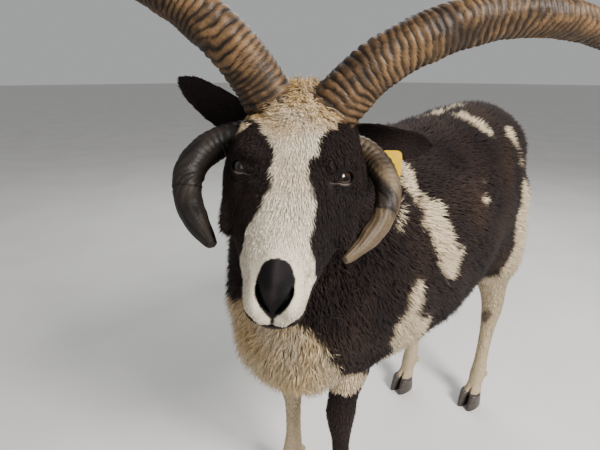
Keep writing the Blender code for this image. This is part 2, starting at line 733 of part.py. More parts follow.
def ear_tag():
    """A rounded plate in the ear's cup and a button behind the ear, on one stem."""
    width, thickness, height = TAG_SIZE
    plate = tag_disc("plate", -TAG_DROP, -TAG_STEM_FRONT - thickness, TAG_SINK - TAG_STEM_FRONT,
                     width / 2, height / 2, TAG_CORNERS, TAG_PLATE_SIDES)
    button = tag_disc("button", 0.0, TAG_STEM_BACK - TAG_SINK, TAG_STEM_BACK + TAG_BUTTON_THICKNESS,
                      TAG_BUTTON, TAG_BUTTON, ROUND, TAG_BUTTON_SIDES)
    return boolean(tag_stem("ear_tag"), [plate, button], "UNION")


def drawn_places(target, allowed, draw):
    """Places drawn evenly on a mesh where allowed says, with the normals there."""
    mesh = target.data
    mesh.calc_loop_triangles()
    triangles = list(mesh.loop_triangles)
    areas = [triangle.area for triangle in triangles]
    places, normals = [], []
    for triangle in draw.choices(triangles, weights=areas, k=SAMPLES):
        a, b = draw.random(), draw.random()
        if a + b > 1:
            a, b = 1 - a, 1 - b
        p, q, r = (mesh.vertices[i].co for i in triangle.vertices)
        place = p + (q - p) * a + (r - p) * b
        if allowed(place):
            places.append(place)
            normals.append(triangle.normal.copy())
    return places, normals


def spread(target, count, allowed, draw):
    """count places on a mesh with their normals, which have settled evenly apart."""
    places, normals = drawn_places(target, allowed, draw)
    points = numpy.array([tuple(place) for place in places])
    middles = points[draw.sample(range(len(points)), count)]
    for _ in range(SETTLING_ROUNDS):
        nearest = numpy.linalg.norm(points[:, None] - middles[None], axis=2).argmin(axis=1)
        middles = numpy.array([points[nearest == k].mean(axis=0) for k in range(count)])
    picks = [int(numpy.linalg.norm(points - middle, axis=1).argmin()) for middle in middles]
    return [(places[k], normals[k]) for k in picks]


def lie_of_wool(place, normal):
    """The way the wool lies: back and down the body, and down the neck and legs."""
    start, end = LIE_TURNS
    share = max(0.0, min(1.0, (place.y - start) / (end - start)))
    down = LIE_ON_NECK.lerp(LIE_ON_BODY, share)
    return (down - normal * down.dot(normal)).normalized()


def clump(place, normal, lie, radius, rise, root, draw):
    """A rounded tuft of wool: a low dome, sunk by its root and leaning down the lie."""
    across = normal.cross(lie)
    turn = draw.uniform(0, 2 * math.pi / CLUMP_SIDES)

    def ring(wide, high):
        points = []
        for i in range(CLUMP_SIDES):
            angle = turn + 2 * math.pi * i / CLUMP_SIDES
            reach = radius * wide * draw.uniform(1 - CLUMP_VARIES, 1 + CLUMP_VARIES)
            slide = CLUMP_LEAN * radius * max(0.0, high / rise)
            points.append(place + normal * high + across * (math.sin(angle) * reach)
                          + lie * (slide + math.cos(angle) * reach * CLUMP_STRETCH))
        return points

    rings = [ring(CLUMP_ROOT_WIDTH, -root)] + [ring(wide, high * rise) for wide, high in CLUMP_SHAPE]
    return loft("clump", rings, tip=place + normal * rise + lie * (CLUMP_LEAN * radius))


def woolly(core, count, allowed, radius, rise, root, draw):
    """Sets clumps of wool close on a core and joins them to it."""
    clumps = []
    for place, normal in spread(core, count, allowed, draw):
        lie = lie_of_wool(place, normal)
        varied = [size * draw.uniform(1 - CLUMP_VARIES, 1 + CLUMP_VARIES) for size in (radius, rise)]
        clumps.append(clump(place, normal, lie, *varied, root, draw))
    return boolean(core, clumps, "UNION", "MANIFOLD")


def has_wool(place):
    """True on the torso, neck and upper legs, and false on the face and the lower legs."""
    beside = abs(place.x) > BETWEEN_LEGS
    on_leg = beside and (FORELEG_SPAN[0] < place.y < FORELEG_SPAN[1] or place.y > HINDLEG_START)
    if place.z < (WOOL_BOTTOM if on_leg else BELLY_BOTTOM):
        return False
    local = HEAD_FRAME_BACK @ place
    return local.y < FACE_START[0] or local.z < FACE_START[1]


def lock(place, normal, lie, length, draw):
    """A flat, tapered lock of wool that rises from its root and bends down to its tip."""
    across = normal.cross(lie)

    def at(along, high):
        return place + lie * (length * along) + normal * (LOCK_RISE * high)

    tip = at(*LOCK_TIP) + across * (LOCK_WIDTH * draw.uniform(-LOCK_TIP_SHIFTS, LOCK_TIP_SHIFTS))
    centres = [place - normal * LOCK_ROOT] + [at(along, high) for along, high, _ in LOCK_SHAPE]
    widths = [LOCK_SHAPE[0][2]] + [wide for _, _, wide in LOCK_SHAPE]
    rings = []
    for k, (centre, wide) in enumerate(zip(centres, widths)):
        heading = ((centres + [tip])[k + 1] - centres[max(k - 1, 0)]).normalized()
        upright = across.cross(heading).normalized()
        section = oval(wide * LOCK_WIDTH / 2, wide * LOCK_THICKNESS / 2, wide * LOCK_THICKNESS / 2,
                       ROUND, LOCK_SIDES)
        rings.append([centre + across * a + upright * b for a, b in section])
    return loft("lock", rings, tip=tip)


def poll_wool(head, draw):
    """The tuft on the poll, its locks lying forwards and out to the sides."""
    half_width, back, front = POLL_AREA

    def on_poll(place):
        local = HEAD_FRAME_BACK @ place
        return abs(local.x) < half_width and back < local.y < front and local.z > EYE.z

    locks = []
    for place, normal in spread(head, POLL_LOCKS, on_poll, draw):
        local = HEAD_FRAME_BACK @ place
        outward = POLL_SPREAD * local.x / half_width + draw.uniform(-POLL_VARIES, POLL_VARIES)
        lie = turned_with_head((outward, 1.0, 0.0))
        lie = (lie - normal * lie.dot(normal)).normalized()
        locks.append(lock(place, normal, lie, LOCK_LENGTH * draw.uniform(*LOCK_LENGTH_VARIES), draw))
    return boolean(head, locks, "UNION", "MANIFOLD")


def whole_body(inset):
    """The body in one piece, from the lips to the coronets, its wool's core drawn in by inset."""
    body = torso_core(inset)
    body.name = "body"
    pieces = [neck_core(inset), head_core()] + face_forms()
    for side in SIDES.values():
        pieces.append(leg("foreleg", FORELEG, side, 0.0, 0.0))
        pieces.append(leg("hindleg", HINDLEG, side, *hind_swing(side)))
        pieces += dewclaws(FORELEG, side, 0.0, 0.0)
        pieces += dewclaws(HINDLEG, side, *hind_swing(side))
    return boolean(body, pieces, "UNION")


def head_space(name, shrink):
    """The space of the head, ahead of the nape and above the throat, drawn in by shrink."""
    spaces = []
    for (forward, up), normal in (NAPE_CUT, THROAT_CUT):
        facing = turned_with_head((0, normal[0], normal[1]))
        spaces.append(half_space(name, in_head((0, forward, up)) + facing * shrink, facing))
    return boolean(spaces[0], spaces[1:], "INTERSECT")


def shoulder_space(name, ahead):
    """The space ahead of the shoulders, or behind them."""
    point, normal = SHOULDER_CUT
    facing = normal.normalized() * (1 if ahead else -1)
    return half_space(name, point + facing * GAP / 2, facing)


def thigh_space(name, side, shrink):
    """The space of one thigh and the haunch above it, drawn in by shrink."""
    point, normal = STIFLE_CUT
    made = half_space(name, point + normal.normalized() * shrink, normal)
    near, far = (shrink, BEYOND) if side > 0 else (-BEYOND, -shrink)
    limits = block("limits", (near, -BEYOND, SHANK_CUT + shrink), (far, BEYOND, HIP_CUT - shrink))
    return boolean(made, [limits], "INTERSECT")


def shank_space(name, side, shrink):
    """The space of a hind leg below the thigh."""
    near, far = (0.0, BEYOND) if side > 0 else (-BEYOND, 0.0)
    return block(name, (near, SHANK_START, -BEYOND), (far, BEYOND, SHANK_CUT - shrink))


def foreleg_space(name, side, shrink):
    """The space of a foreleg below the elbow."""
    near, far = (0.0, BEYOND) if side > 0 else (-BEYOND, 0.0)
    return block(name, (near, -BEYOND, -BEYOND), (far, ELBOW_START, ELBOW_CUT - shrink))


def cut_region(body, name, keeper, cutters=()):
    """The part of the body inside the keeper and outside every cutter."""
    made = duplicate(body, name)
    boolean(made, [keeper], "INTERSECT", "MANIFOLD")
    if cutters:
        boolean(made, cutters, "DIFFERENCE", "MANIFOLD")
    return keep_largest(made)


def part_body(body):
    """Parts the whole body into head, neck, torso, thighs and legs."""
    cut_region(body, "head", head_space("keep", GAP / 2))
    cut_region(body, "neck", shoulder_space("keep", True), [head_space("cut", -GAP / 2)])
    cutters = [head_space("cut", -GAP / 2)]
    for word, side in SIDES.items():
        cut_region(body, f"foreleg_{word}", foreleg_space("keep", side, GAP))
        cut_region(body, f"thigh_{word}", thigh_space("keep", side, GAP / 2))
        cut_region(body, f"hindleg_{word}", shank_space("keep", side, GAP / 2))
        cutters.append(foreleg_space("cut", side, 0.0))
        cutters.append(thigh_space("cut", side, -GAP / 2))
        cutters.append(shank_space("cut", side, -GAP / 2))
    cut_region(body, "torso", shoulder_space("keep", False), cutters)
    bpy.data.objects.remove(body)


def almond_axes(side):
    """The directions of an eye's opening: along its slit, across it and out of it."""
    facing = turned_with_head(EYE_FACING, side)
    slit = turned_with_head(EYE_SLIT, side)
    slit = (slit - facing * slit.dot(facing)).normalized()
    return [slit, facing.cross(slit), facing]


def mouth_slit():
    """A thin blade between the lips."""
    corners = ((-MOUTH_REACH, -MOUTH_GAP / 2), (MOUTH_REACH, -MOUTH_GAP / 2),
               (MOUTH_REACH, MOUTH_GAP / 2), (-MOUTH_REACH, MOUTH_GAP / 2))
    return loft("mouth", [[in_head((a, forward, up + b)) for a, b in corners]
                          for forward, up in (MOUTH_BACK, MOUTH_FRONT)])


def head_openings(head):
    """Adds the lids, then cuts their openings, the eyes' sockets, nostrils and mouth."""
    lids, cuts = [], [mouth_slit()]
    for side in SIDES.values():
        centre = in_head(EYE, side)
        almond = almond_axes(side)
        facing = almond[2]
        around = (EYE_RADIUS + LID_THICKNESS,) * 3
        lids.append(ball("lids", centre, around, almond, LID_SIDES, LID_BANDS))
        opening = (*LID_OPENING, EYE_RADIUS * LID_DEPTH)
        cuts.append(ball("opening", centre + facing * EYE_RADIUS, opening, almond, LID_SIDES, LID_BANDS))
        cuts.append(ball("socket", centre, (EYE_RADIUS + GAP,) * 3, head_axes(side), EYE_SIDES, EYE_BANDS))
        cuts.append(ball("nostril", in_head(NOSTRIL, side), NOSTRIL_RADII, head_axes(side, NOSTRIL_AXES),
                         SLIT_SIDES, SLIT_BANDS))
    cuts.append(ball("philtrum", in_head(PHILTRUM), PHILTRUM_RADII, head_axes(), SLIT_SIDES, SLIT_BANDS))
    boolean(head, lids, "UNION")
    boolean(head, cuts, "DIFFERENCE")
    keep_largest(head)


def seat_horns_and_ears():
    """Cuts the sockets of horns and ears in head and neck, and makes what fills them."""
    for target in ("head", "neck"):
        cuts = []
        for word, side in SIDES.items():
            cuts.append(upper_horn("cut", side, GAP))
            cuts.append(lower_horn("cut", side, GAP))
            cuts.append(ear("cut", word, EAR_SOCKET * GAP))
        boolean(bpy.data.objects[target], cuts, "DIFFERENCE", "MANIFOLD")
        keep_largest(bpy.data.objects[target])
    for word, side in SIDES.items():
        upper_horn(f"horn_upper_{word}", side)
        lower_horn(f"horn_lower_{word}", side)
        ear(f"ear_{word}", word)
        ball(f"eye_{word}", in_head(EYE, side), (EYE_RADIUS,) * 3, head_axes(side), EYE_SIDES, EYE_BANDS)
    boolean(bpy.data.objects["ear_left"], [tag_stem("cut", GAP)], "DIFFERENCE")
    ear_tag()


def feet():
    """The claws of all four feet."""
    for word, side in SIDES.items():
        x, y = FORELEG[-1][:2]
        hoof_claws(f"fore_{word}", side * x, y - TOE_AHEAD)
        x, y = HINDLEG[-1][:2]
        ahead, out = hind_swing(side)
        hoof_claws(f"hind_{word}", side * (x + out), y - ahead - TOE_AHEAD)


def tail_shape(name, swell):
    """The tail's plain form, to the tips of its wool and swell beyond them."""
    rings = []
    for k, (x, y, z, half_width, half_depth) in enumerate(smooth_rows(TAIL, TAIL_STEPS)):
        section = oval(half_width + swell, half_depth + swell, half_depth + swell, ROUND, TAIL_SIDES)
        rings.append([(x + a, y + b - (swell if k == 0 else 0), z) for a, b in section])
    return loft(name, rings)


def tail(draw):
    """The woolly tail, rooted in the rump, with its socket cut in what it crosses."""
    for name in ("torso", "thigh_left", "thigh_right"):
        target = bpy.data.objects[name]
        boolean(target, [tail_shape("cut", TAIL_ROOM)], "DIFFERENCE", "MANIFOLD")
        keep_largest(target)
    root_y = TAIL[1][1]
    made = tail_shape("tail", -TAIL_INSET)
    woolly(made, TAIL_CLUMPS, lambda place: place.y > root_y, TAIL_CLUMP_RADIUS, TAIL_INSET,
           TAIL_INSET, draw)
    boolean(made, [tail_shape("limit", TAIL_ROOM - GAP)], "INTERSECT", "MANIFOLD")
    keep_largest(made)


def material(name, kind):
    """A plain finish of one colour."""
    colour, roughness = COLOURS[kind]
    made = bpy.data.materials.new(name)
    made.use_nodes = True
    shader = made.node_tree.nodes["Principled BSDF"]
    shader.inputs["Base Color"].default_value = (*colour, 1)
    shader.inputs["Roughness"].default_value = roughness
    shader.inputs["Metallic"].default_value = 0.0
    return made


def finish():
    """Gives each sub-part its own material."""
    for item in bpy.context.scene.objects:
        kind = next((kind for start, kind in NAMED_COLOURS if item.name.startswith(start)), "coat_black")
        item.data.materials.clear()
        item.data.materials.append(material(item.name, kind))


def centre_on_floor():
    """Moves the ram so that the middle of its box is over the origin and its soles at zero."""
    corners = [item.matrix_world @ Vector(corner)
               for item in bpy.context.scene.objects for corner in item.bound_box]
    low = Vector(min(c[i] for c in corners) for i in range(3))
    high = Vector(max(c[i] for c in corners) for i in range(3))
    shift = Vector((-(low.x + high.x) / 2, -(low.y + high.y) / 2, -low.z))
    for item in bpy.context.scene.objects:
        item.data.transform(Matrix.Translation(shift))


def main():
    for old in list(bpy.data.objects):
        bpy.data.objects.remove(old)
    draw = random.Random(SEED)
    body = whole_body(CORE_INSET)
    part_body(woolly(body, CLUMPS, has_wool, CLUMP_RADIUS, CORE_INSET, CLUMP_ROOT, draw))
    poll_wool(bpy.data.objects["head"], draw)
    head_openings(bpy.data.objects["head"])
    seat_horns_and_ears()
    feet()
    tail(draw)
    centre_on_floor()
    finish()


main()
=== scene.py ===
"""The looks of a four-horned piebald ram, standing with its head turned to its left.

One skin stands for head, neck, torso, thighs, legs, ears and tail. It is taken from smooth
distance fields built of the same named sizes as the solids. The coat is solid tufts of
wool and hair set on it from arrays. Skin and coat take their markings from one function.
"""

import math

import bmesh
import bpy
import numpy as np
from mathutils import Matrix, Vector, kdtree


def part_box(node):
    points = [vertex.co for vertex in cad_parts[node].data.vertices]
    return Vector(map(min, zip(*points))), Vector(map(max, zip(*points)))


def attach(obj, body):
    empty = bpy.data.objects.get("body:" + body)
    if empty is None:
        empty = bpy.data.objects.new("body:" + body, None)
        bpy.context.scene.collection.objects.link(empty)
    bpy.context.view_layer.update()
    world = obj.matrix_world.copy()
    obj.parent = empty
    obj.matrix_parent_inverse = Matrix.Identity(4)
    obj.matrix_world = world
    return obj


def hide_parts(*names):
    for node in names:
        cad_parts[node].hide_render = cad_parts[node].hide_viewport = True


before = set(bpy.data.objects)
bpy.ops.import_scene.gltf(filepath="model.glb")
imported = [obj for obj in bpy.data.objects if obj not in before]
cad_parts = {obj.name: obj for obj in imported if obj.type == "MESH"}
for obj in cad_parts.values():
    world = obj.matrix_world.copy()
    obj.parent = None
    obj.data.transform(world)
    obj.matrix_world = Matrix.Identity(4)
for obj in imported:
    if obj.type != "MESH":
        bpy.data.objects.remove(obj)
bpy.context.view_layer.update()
RNG = np.random.default_rng(7)
SIDES = {"left": 1, "right": -1}

# The named sizes of the solids, in the ram's own frame.
CORE_INSET = 0.016
WOOL_BOTTOM = 0.372
BELLY_BOTTOM = 0.290
TORSO = (
    (0.352, 0.615, 0.520, 0.024), (0.338, 0.658, 0.450, 0.058), (0.295, 0.700, 0.405, 0.090),
    (0.225, 0.729, 0.380, 0.115), (0.120, 0.724, 0.350, 0.142), (0.000, 0.704, 0.320, 0.160),
    (-0.120, 0.695, 0.300, 0.160), (-0.220, 0.694, 0.290, 0.148), (-0.300, 0.667, 0.294, 0.126),
    (-0.355, 0.600, 0.330, 0.098), (-0.386, 0.520, 0.400, 0.045),
)
TORSO_SQUARENESS = 2.25
NECK = (
    (0.000, -0.165, 0.500, 0.114, 0.150, 0.150), (0.002, -0.212, 0.570, 0.119, 0.148, 0.130),
    (0.013, -0.252, 0.632, 0.112, 0.124, 0.100), (0.031, -0.288, 0.680, 0.084, 0.098, 0.070),
    (0.052, -0.318, 0.705, 0.060, 0.068, 0.044), (0.070, -0.336, 0.716, 0.030, 0.034, 0.022),
)
POLL = Vector((0.0845, -0.3548, 0.7710))
HEAD_YAW, HEAD_PITCH, HEAD_ROLL = 44.0, 37.0, 5.5
HEAD = (
    (-0.040, -0.060, -0.080, -0.098, 0.026), (-0.026, -0.026, -0.080, -0.120, 0.052),
    (0.004, -0.005, -0.078, -0.133, 0.068), (0.040, 0.000, -0.078, -0.138, 0.077),
    (0.075, 0.001, -0.080, -0.138, 0.081), (0.100, -0.001, -0.082, -0.134, 0.0795),
    (0.125, -0.004, -0.084, -0.127, 0.072), (0.155, -0.009, -0.080, -0.117, 0.059),
    (0.185, -0.016, -0.074, -0.106, 0.047), (0.210, -0.024, -0.068, -0.100, 0.0390),
    (0.230, -0.031, -0.066, -0.097, 0.0340), (0.247, -0.041, -0.069, -0.092, 0.0260),
    (0.256, -0.055, -0.072, -0.086, 0.0140),
)
HEAD_SQUARENESS = 2.15
FACE_FORMS = (
    ((0.0420, 0.0760, -0.0190), (0.0220, 0.0320, 0.0160)),
    ((0.0480, 0.0620, -0.0860), (0.0340, 0.0520, 0.0420)),
    ((0.0120, 0.2440, -0.0690), (0.0160, 0.0135, 0.0120)),
    ((0.0165, 0.2440, -0.0530), (0.0105, 0.0150, 0.0140)),
    ((0.0000, 0.2390, -0.0870), (0.0215, 0.0160, 0.0100)),
)
EYE = Vector((0.0461, 0.1075, -0.0306))
EYE_RADIUS = 0.0145
EYE_FACING = Vector((0.76, 0.34, 0.55))
EAR_ROUTES = {
    "left": ((0.050, -0.004, -0.084), (0.078, 0.003, -0.076),
             (0.112, 0.010, -0.070), (0.158, 0.012, -0.062)),
    "right": ((0.050, -0.004, -0.080), (0.078, 0.000, -0.066),
              (0.110, -0.004, -0.047), (0.150, -0.012, -0.022)),
}
EAR_WIDTHS = (0.014, 0.0185, 0.0220, 0.0230, 0.0215, 0.0165, 0.0065)
EAR_CUP = (0.95, 0.80, 0.62, 0.52, 0.45, 0.40, 0.35)
EAR_THICKNESS = 0.0036
EAR_OPENING = np.array((0.0, 0.76, 0.42))
FORELEG = (
    (0.075, -0.215, 0.440, 0.036, 0.050), (0.070, -0.225, 0.380, 0.033, 0.045),
    (0.066, -0.235, 0.325, 0.028, 0.036), (0.063, -0.246, 0.280, 0.0230, 0.027),
    (0.062, -0.250, 0.248, 0.0240, 0.026), (0.062, -0.250, 0.222, 0.0205, 0.022),
    (0.062, -0.248, 0.185, 0.0155, 0.0170), (0.062, -0.247, 0.130, 0.0145, 0.0165),
    (0.062, -0.248, 0.096, 0.0170, 0.0190), (0.062, -0.251, 0.076, 0.0190, 0.0205),
    (0.062, -0.262, 0.054, 0.0175, 0.0180), (0.062, -0.271, 0.036, 0.0210, 0.0220),
)
HINDLEG = (
    (0.056, 0.205, 0.560, 0.046, 0.075), (0.062, 0.205, 0.480, 0.052, 0.092),
    (0.066, 0.218, 0.410, 0.048, 0.080), (0.068, 0.238, 0.350, 0.036, 0.054),
    (0.067, 0.259, 0.305, 0.0265, 0.037), (0.066, 0.272, 0.268, 0.0235, 0.031),
    (0.066, 0.272, 0.238, 0.0210, 0.0250), (0.066, 0.264, 0.190, 0.0160, 0.0190),
    (0.066, 0.256, 0.130, 0.0152, 0.0175), (0.066, 0.252, 0.096, 0.0175, 0.0195),
    (0.066, 0.249, 0.076, 0.0195, 0.0210), (0.066, 0.240, 0.054, 0.0175, 0.0185),
    (0.066, 0.232, 0.036, 0.0210, 0.0225),
)
RIGHT_HIND_AHEAD, RIGHT_HIND_OUT = 0.075, 0.016
SWING_TOP, SWING_REACH = 0.52, 0.25
CLAW = (
    (0.0000, 0.024, 0.030, 0.0106), (0.0120, 0.024, 0.028, 0.0108),
    (0.0357, 0.021, 0.017, 0.0100),
)
HOOF_SPLAY, TOE_AHEAD = 0.0118, 0.010
DEWCLAW_HEIGHT, DEWCLAW_SPLAY, DEWCLAW_BEHIND = 0.072, 0.010, 0.019
DEWCLAW_RADII = (0.0055, 0.0065, 0.0090)
TAIL = (
    (0.0, 0.318, 0.660, 0.024, 0.022), (0.0, 0.348, 0.646, 0.031, 0.025),
    (0.0, 0.368, 0.612, 0.036, 0.026), (0.0, 0.374, 0.565, 0.038, 0.026),
    (0.0, 0.373, 0.515, 0.036, 0.025), (0.0, 0.369, 0.468, 0.029, 0.021),
    (0.0, 0.365, 0.438, 0.014, 0.011),
)
UPPER_HORN_ROOT = Vector((0.0360, 0.0200, -0.0141))
UPPER_HORN_HEADING = Vector((0.486, -0.469, 0.738))
UPPER_HORN_AXIS = Vector((-0.064, 0.982, 0.179))
UPPER_HORN_BENDS = {1: (30.0, 24.6, 18.0, 20.3, 22.2), -1: (30.0, 22.0, 14.0, 10.0, 10.0)}
UPPER_HORN_LENGTH = {1: 0.56, -1: 0.50}
UPPER_HORN_RADIUS, UPPER_HORN_TIP = 0.0268, 0.004
UPPER_HORN_TAPER = (0.55, 0.15)
UPPER_HORN_STEPS = 38
LOWER_HORN_ROUTE = (
    (0.0610, 0.0290, -0.0615), (0.0890, 0.0430, -0.0635), (0.1070, 0.0670, -0.0680),
    (0.1130, 0.0920, -0.0740), (0.1080, 0.1190, -0.0800), (0.0940, 0.1460, -0.0830),
    (0.0740, 0.1730, -0.0830),
)
LOWER_HORN_SPREAD = {1: 0.94, -1: 1.16}
LOWER_HORN_CURL = {1: 0.009, -1: 0.0}
LOWER_HORN_RADIUS, LOWER_HORN_TIP = {1: 0.0175, -1: 0.0200}, 0.0060
LOWER_HORN_TAPER = {1: (0.52, 0.10), -1: (0.35, 0.10)}
LOWER_HORN_STEPS = 24
HORN_FLATNESS = 0.92
HORN_SOCKET = 0.012

# What the skin and coat add.
HAIR_INSET = 0.0022         # how far the skin lies under the solids where the hair is short
HEAD_STEP = 0.0014          # the fineness of the skin
BODY_STEP = 0.0060
LEG_STEP = 0.0026
LEG_SEAM = 0.350            # where the fine lower leg meets the coarser upper one
PIECE_TRIANGLES = 190000
PATCH = 0.003               # a tuft's size on its UV map

# The tufts: how many, how long, how wide, and their angles off the skin at root and tip, in
# degrees. Where several numbers stand, the first holds everywhere and the others are added: on
# the body and then on the bib, high on the leg, on the muzzle and then at the neck, or near the
# horns. The layers of wool have a name, a number of tufts, rings in each and a seed.
WOOL_LAYERS = (("fleece", 46000, 2, 11), ("underwool", 105000, 1, 15))
WOOL_LENGTH, WOOL_WIDTH = (0.0085, 0.0125, 0.010), (0.0018, 0.0013)
WOOL_ANGLES = ((32, 34, -12), (10, 18, -14))
UNDERWOOL_LENGTH, UNDERWOOL_WIDTH = 0.90, 0.85      # shares of the locks' own
LEG_TUFTS, LEG_LENGTH, LEG_WIDTH = 14000, (0.0055, 0.0040), (0.0018, 0.0006)
LEG_ANGLES = ((16, 6), (4,))
HEAD_TUFTS, HEAD_LENGTH, HEAD_WIDTH = 36000, (0.0085, -0.0040), (0.0016, -0.0005, 0.0014)
HEAD_ANGLES = ((24, -6), (6,))
NAPE_LENGTH = 0.010         # more where the head meets the neck
POLL_TUFTS, POLL_LENGTH, POLL_WIDTH = 5200, (0.0095, 0.0125), (0.0012, 0.0007)
POLL_ANGLES = ((24, 14), (4,))
EAR_TUFTS, EAR_LENGTH, EAR_WIDTH = 3000, 0.0048, 0.0014
EAR_ANGLES = ((12,), (2,))

# The bony forms of the left half of the face, in the head's frame: centre, radii and how
# softly each is joined on. The rim over the eye lies along the eye's own directions.
FACE_RIDGES = (
    ((0.0600, 0.1350, -0.0620), (0.0100, 0.0340, 0.0080), 0.012),
    ((0.0000, 0.2220, -0.0950), (0.0180, 0.0220, 0.0080), 0.010),
    ((0.0000, 0.2050, -0.0330), (0.0100, 0.0300, 0.0080), 0.014),
    ((0.0112, 0.2480, -0.0655), (0.0112, 0.0110, 0.0088), 0.004),
)
EYE_RIMS = (
    ((0.0010, 0.0165, 0.0035), (0.0210, 0.0055, 0.0100), 0.009),
    ((-0.0155, 0.0040, 0.0040), (0.0060, 0.0140, 0.0080), 0.008),
)
# The hollows: beside the eye, before it, along the jaw and behind the wing of the nose.
FACE_HOLLOWS = (
    ((0.0690, 0.0960, -0.0280), (0.0100, 0.0170, 0.0100), 0.010),
    ((0.0520, 0.1360, -0.0215), (0.0070, 0.0150, 0.0060), 0.010),
    ((0.0570, 0.1870, -0.0860), (0.0120, 0.0300, 0.0100), 0.012),
    ((0.0330, 0.2220, -0.0500), (0.0060, 0.0090, 0.0070), 0.008),
)
# Places by how far they lie down the slope of the face: shares of forward and up.
NOSE_SLOPE = (0.754, -0.655)
# A nostril's slit, from its inner end to its outer one: beside the middle, down the slope,
# half its width.
NOSTRIL = (
    (0.0026, 0.2262, 0.0007), (0.0066, 0.2210, 0.0015), (0.0112, 0.2145, 0.0021),
    (0.0152, 0.2070, 0.0018), (0.0164, 0.2015, 0.0008),
)
NOSTRIL_DEPTH = 0.0060
# The leather of the nose: how far down the slope of the face, and half its width there.
NOSE = (
    (0.1700, -0.0060), (0.1755, 0.0000), (0.1775, 0.0070), (0.1810, 0.0115), (0.1865, 0.0148),
    (0.1930, 0.0168), (0.2000, 0.0178), (0.2075, 0.0178), (0.2150, 0.0150), (0.2210, 0.0112),
    (0.2270, 0.0064), (0.2325, 0.0022), (0.2410, 0.0010), (0.2450, -0.0060),
)
# The line of the mouth: its level in the middle, and how far it has risen at the sides.
MOUTH_LEVEL, MOUTH_RISE = -0.0755, 0.0115
MOUTH_CORNER = 0.198
MOUTH_DEPTH, MOUTH_WIDTH = 0.0046, 0.0018
# The groove from the nose to the lip.
LIP_GROOVE = (((0.0, 0.2570, -0.0560), 0.0014), ((0.0, 0.2600, -0.0800), 0.0018))
EYE_SLIT = Vector((-0.62, 0.60, 0.44))      # the way from the eye's back corner to its front one
# The opening between the lids: half its length, half its height. Then the lids' thickness.
LID_REACH, LID_RISE = 0.0112, 0.0056
LID_THICKNESS = 0.0024
# The folds over and under the lids: distance off the eye, half their width, how far off the slit.
FOLD_ABOVE, FOLD_BELOW = (0.0050, 0.0006, 0.0062), (0.0044, 0.0003, 0.0062)
TEAR_GROOVE = ((0.0150, -0.0020, 0.0090), (0.0050, 0.0012, 0.0040))
PUPIL = (0.42, 0.15)        # half its length and height, as shares of the eye

# The horns: how far apart the rings stand and how high, and where the left lower one is cracked.
UPPER_RING_SPACING, UPPER_RING_HEIGHT = 0.0078, 0.0040
LOWER_RING_SPACING, LOWER_RING_HEIGHT = 0.0075, 0.0013
LOWER_HORN_REACH, LOWER_HORN_CRACK = 0.20, 0.60

# Each coat colour has a root and a tip; the roots' darker colours are painted shade deep in the
# coat.
BLACK_SHADED_ROOT, BLACK_TIP = np.array((0.007, 0.005, 0.005)), np.array((0.022, 0.0145, 0.0135))
BROWN_TIP = np.array((0.050, 0.029, 0.021))
CREAM_SHADED_ROOT, CREAM_TIP = np.array((0.38, 0.28, 0.16)), np.array((0.76, 0.64, 0.46))
WHITE_SHADED_ROOT, WHITE_TIP = np.array((0.52, 0.43, 0.31)), np.array((0.92, 0.85, 0.72))
GOLD_SHADED_ROOT, GOLD_TIP = np.array((0.30, 0.18, 0.07)), np.array((0.66, 0.45, 0.20))
# The nose leather's own black, and a painted highlight for down its middle.
NOSE_COLOUR, NOSE_HIGHLIGHT = np.array((0.0040, 0.0030, 0.0034)), np.array((0.017, 0.013, 0.014))
# The lips' and lids' own dark; along the mouth it also stands for painted shade.
LIP_COLOUR, LID_COLOUR = np.array((0.0035, 0.0028, 0.0028)), np.array((0.110, 0.085, 0.074))
# Painted shadow deep in the nostrils.
NOSTRIL_SHADOW_COLOUR = np.array((0.0012, 0.0010, 0.0010))
IRIS_COLOUR, EYE_EDGE_COLOUR = np.array((0.020, 0.010, 0.005)), np.array((0.012, 0.008, 0.007))
HOOF_COLOUR = np.array((0.050, 0.040, 0.034))
# A dark and a light tone of each.
UPPER_HORN_TONES = ((0.044, 0.026, 0.014), (0.190, 0.108, 0.048))
# Painted shade deep in the upper horns' grooves between rings.
UPPER_HORN_GROOVE_SHADE = (0.010, 0.006, 0.004)
LOWER_HORN_TONES = ((0.010, 0.008, 0.007), (0.038, 0.028, 0.022))
WORN_HORN_TONES = ((0.060, 0.038, 0.019), (0.225, 0.158, 0.088))
TAG_TONES = ((0.54, 0.32, 0.001), (0.66, 0.41, 0.002))
FLOOR_TONES = ((0.60, 0.59, 0.57), (0.66, 0.65, 0.63))

# The photo's camera in the ram's own frame: its place, how far it is turned and looks down in
# degrees, and its lens and sensor in millimetres.
CAMERA_PLACE = (0.472, -0.711, 0.780)
CAMERA_TURN, CAMERA_DOWN = 48.0, 18.5
CAMERA_LENS, CAMERA_SENSOR = 27.0, 36.0
FLOOR_REACH = 40.0
# The lights: name, place, what they point at, size, power and colour.
LIGHTS = (
    ("key", (1.9, -0.1, 1.8), (0.05, -0.1, 0.5), 0.8, 135.0, (1.0, 0.96, 0.91)),
    ("front", (0.6, -2.4, 1.7), (0.05, -0.2, 0.5), 1.6, 14.0, (1.0, 0.98, 0.96)),
    ("back", (-1.2, 1.6, 2.2), (0.0, 0.0, 0.6), 1.6, 40.0, (0.94, 0.97, 1.0)),
)
SKY_COLOUR, SKY_STRENGTH = (0.90, 0.91, 0.92, 1), 0.45


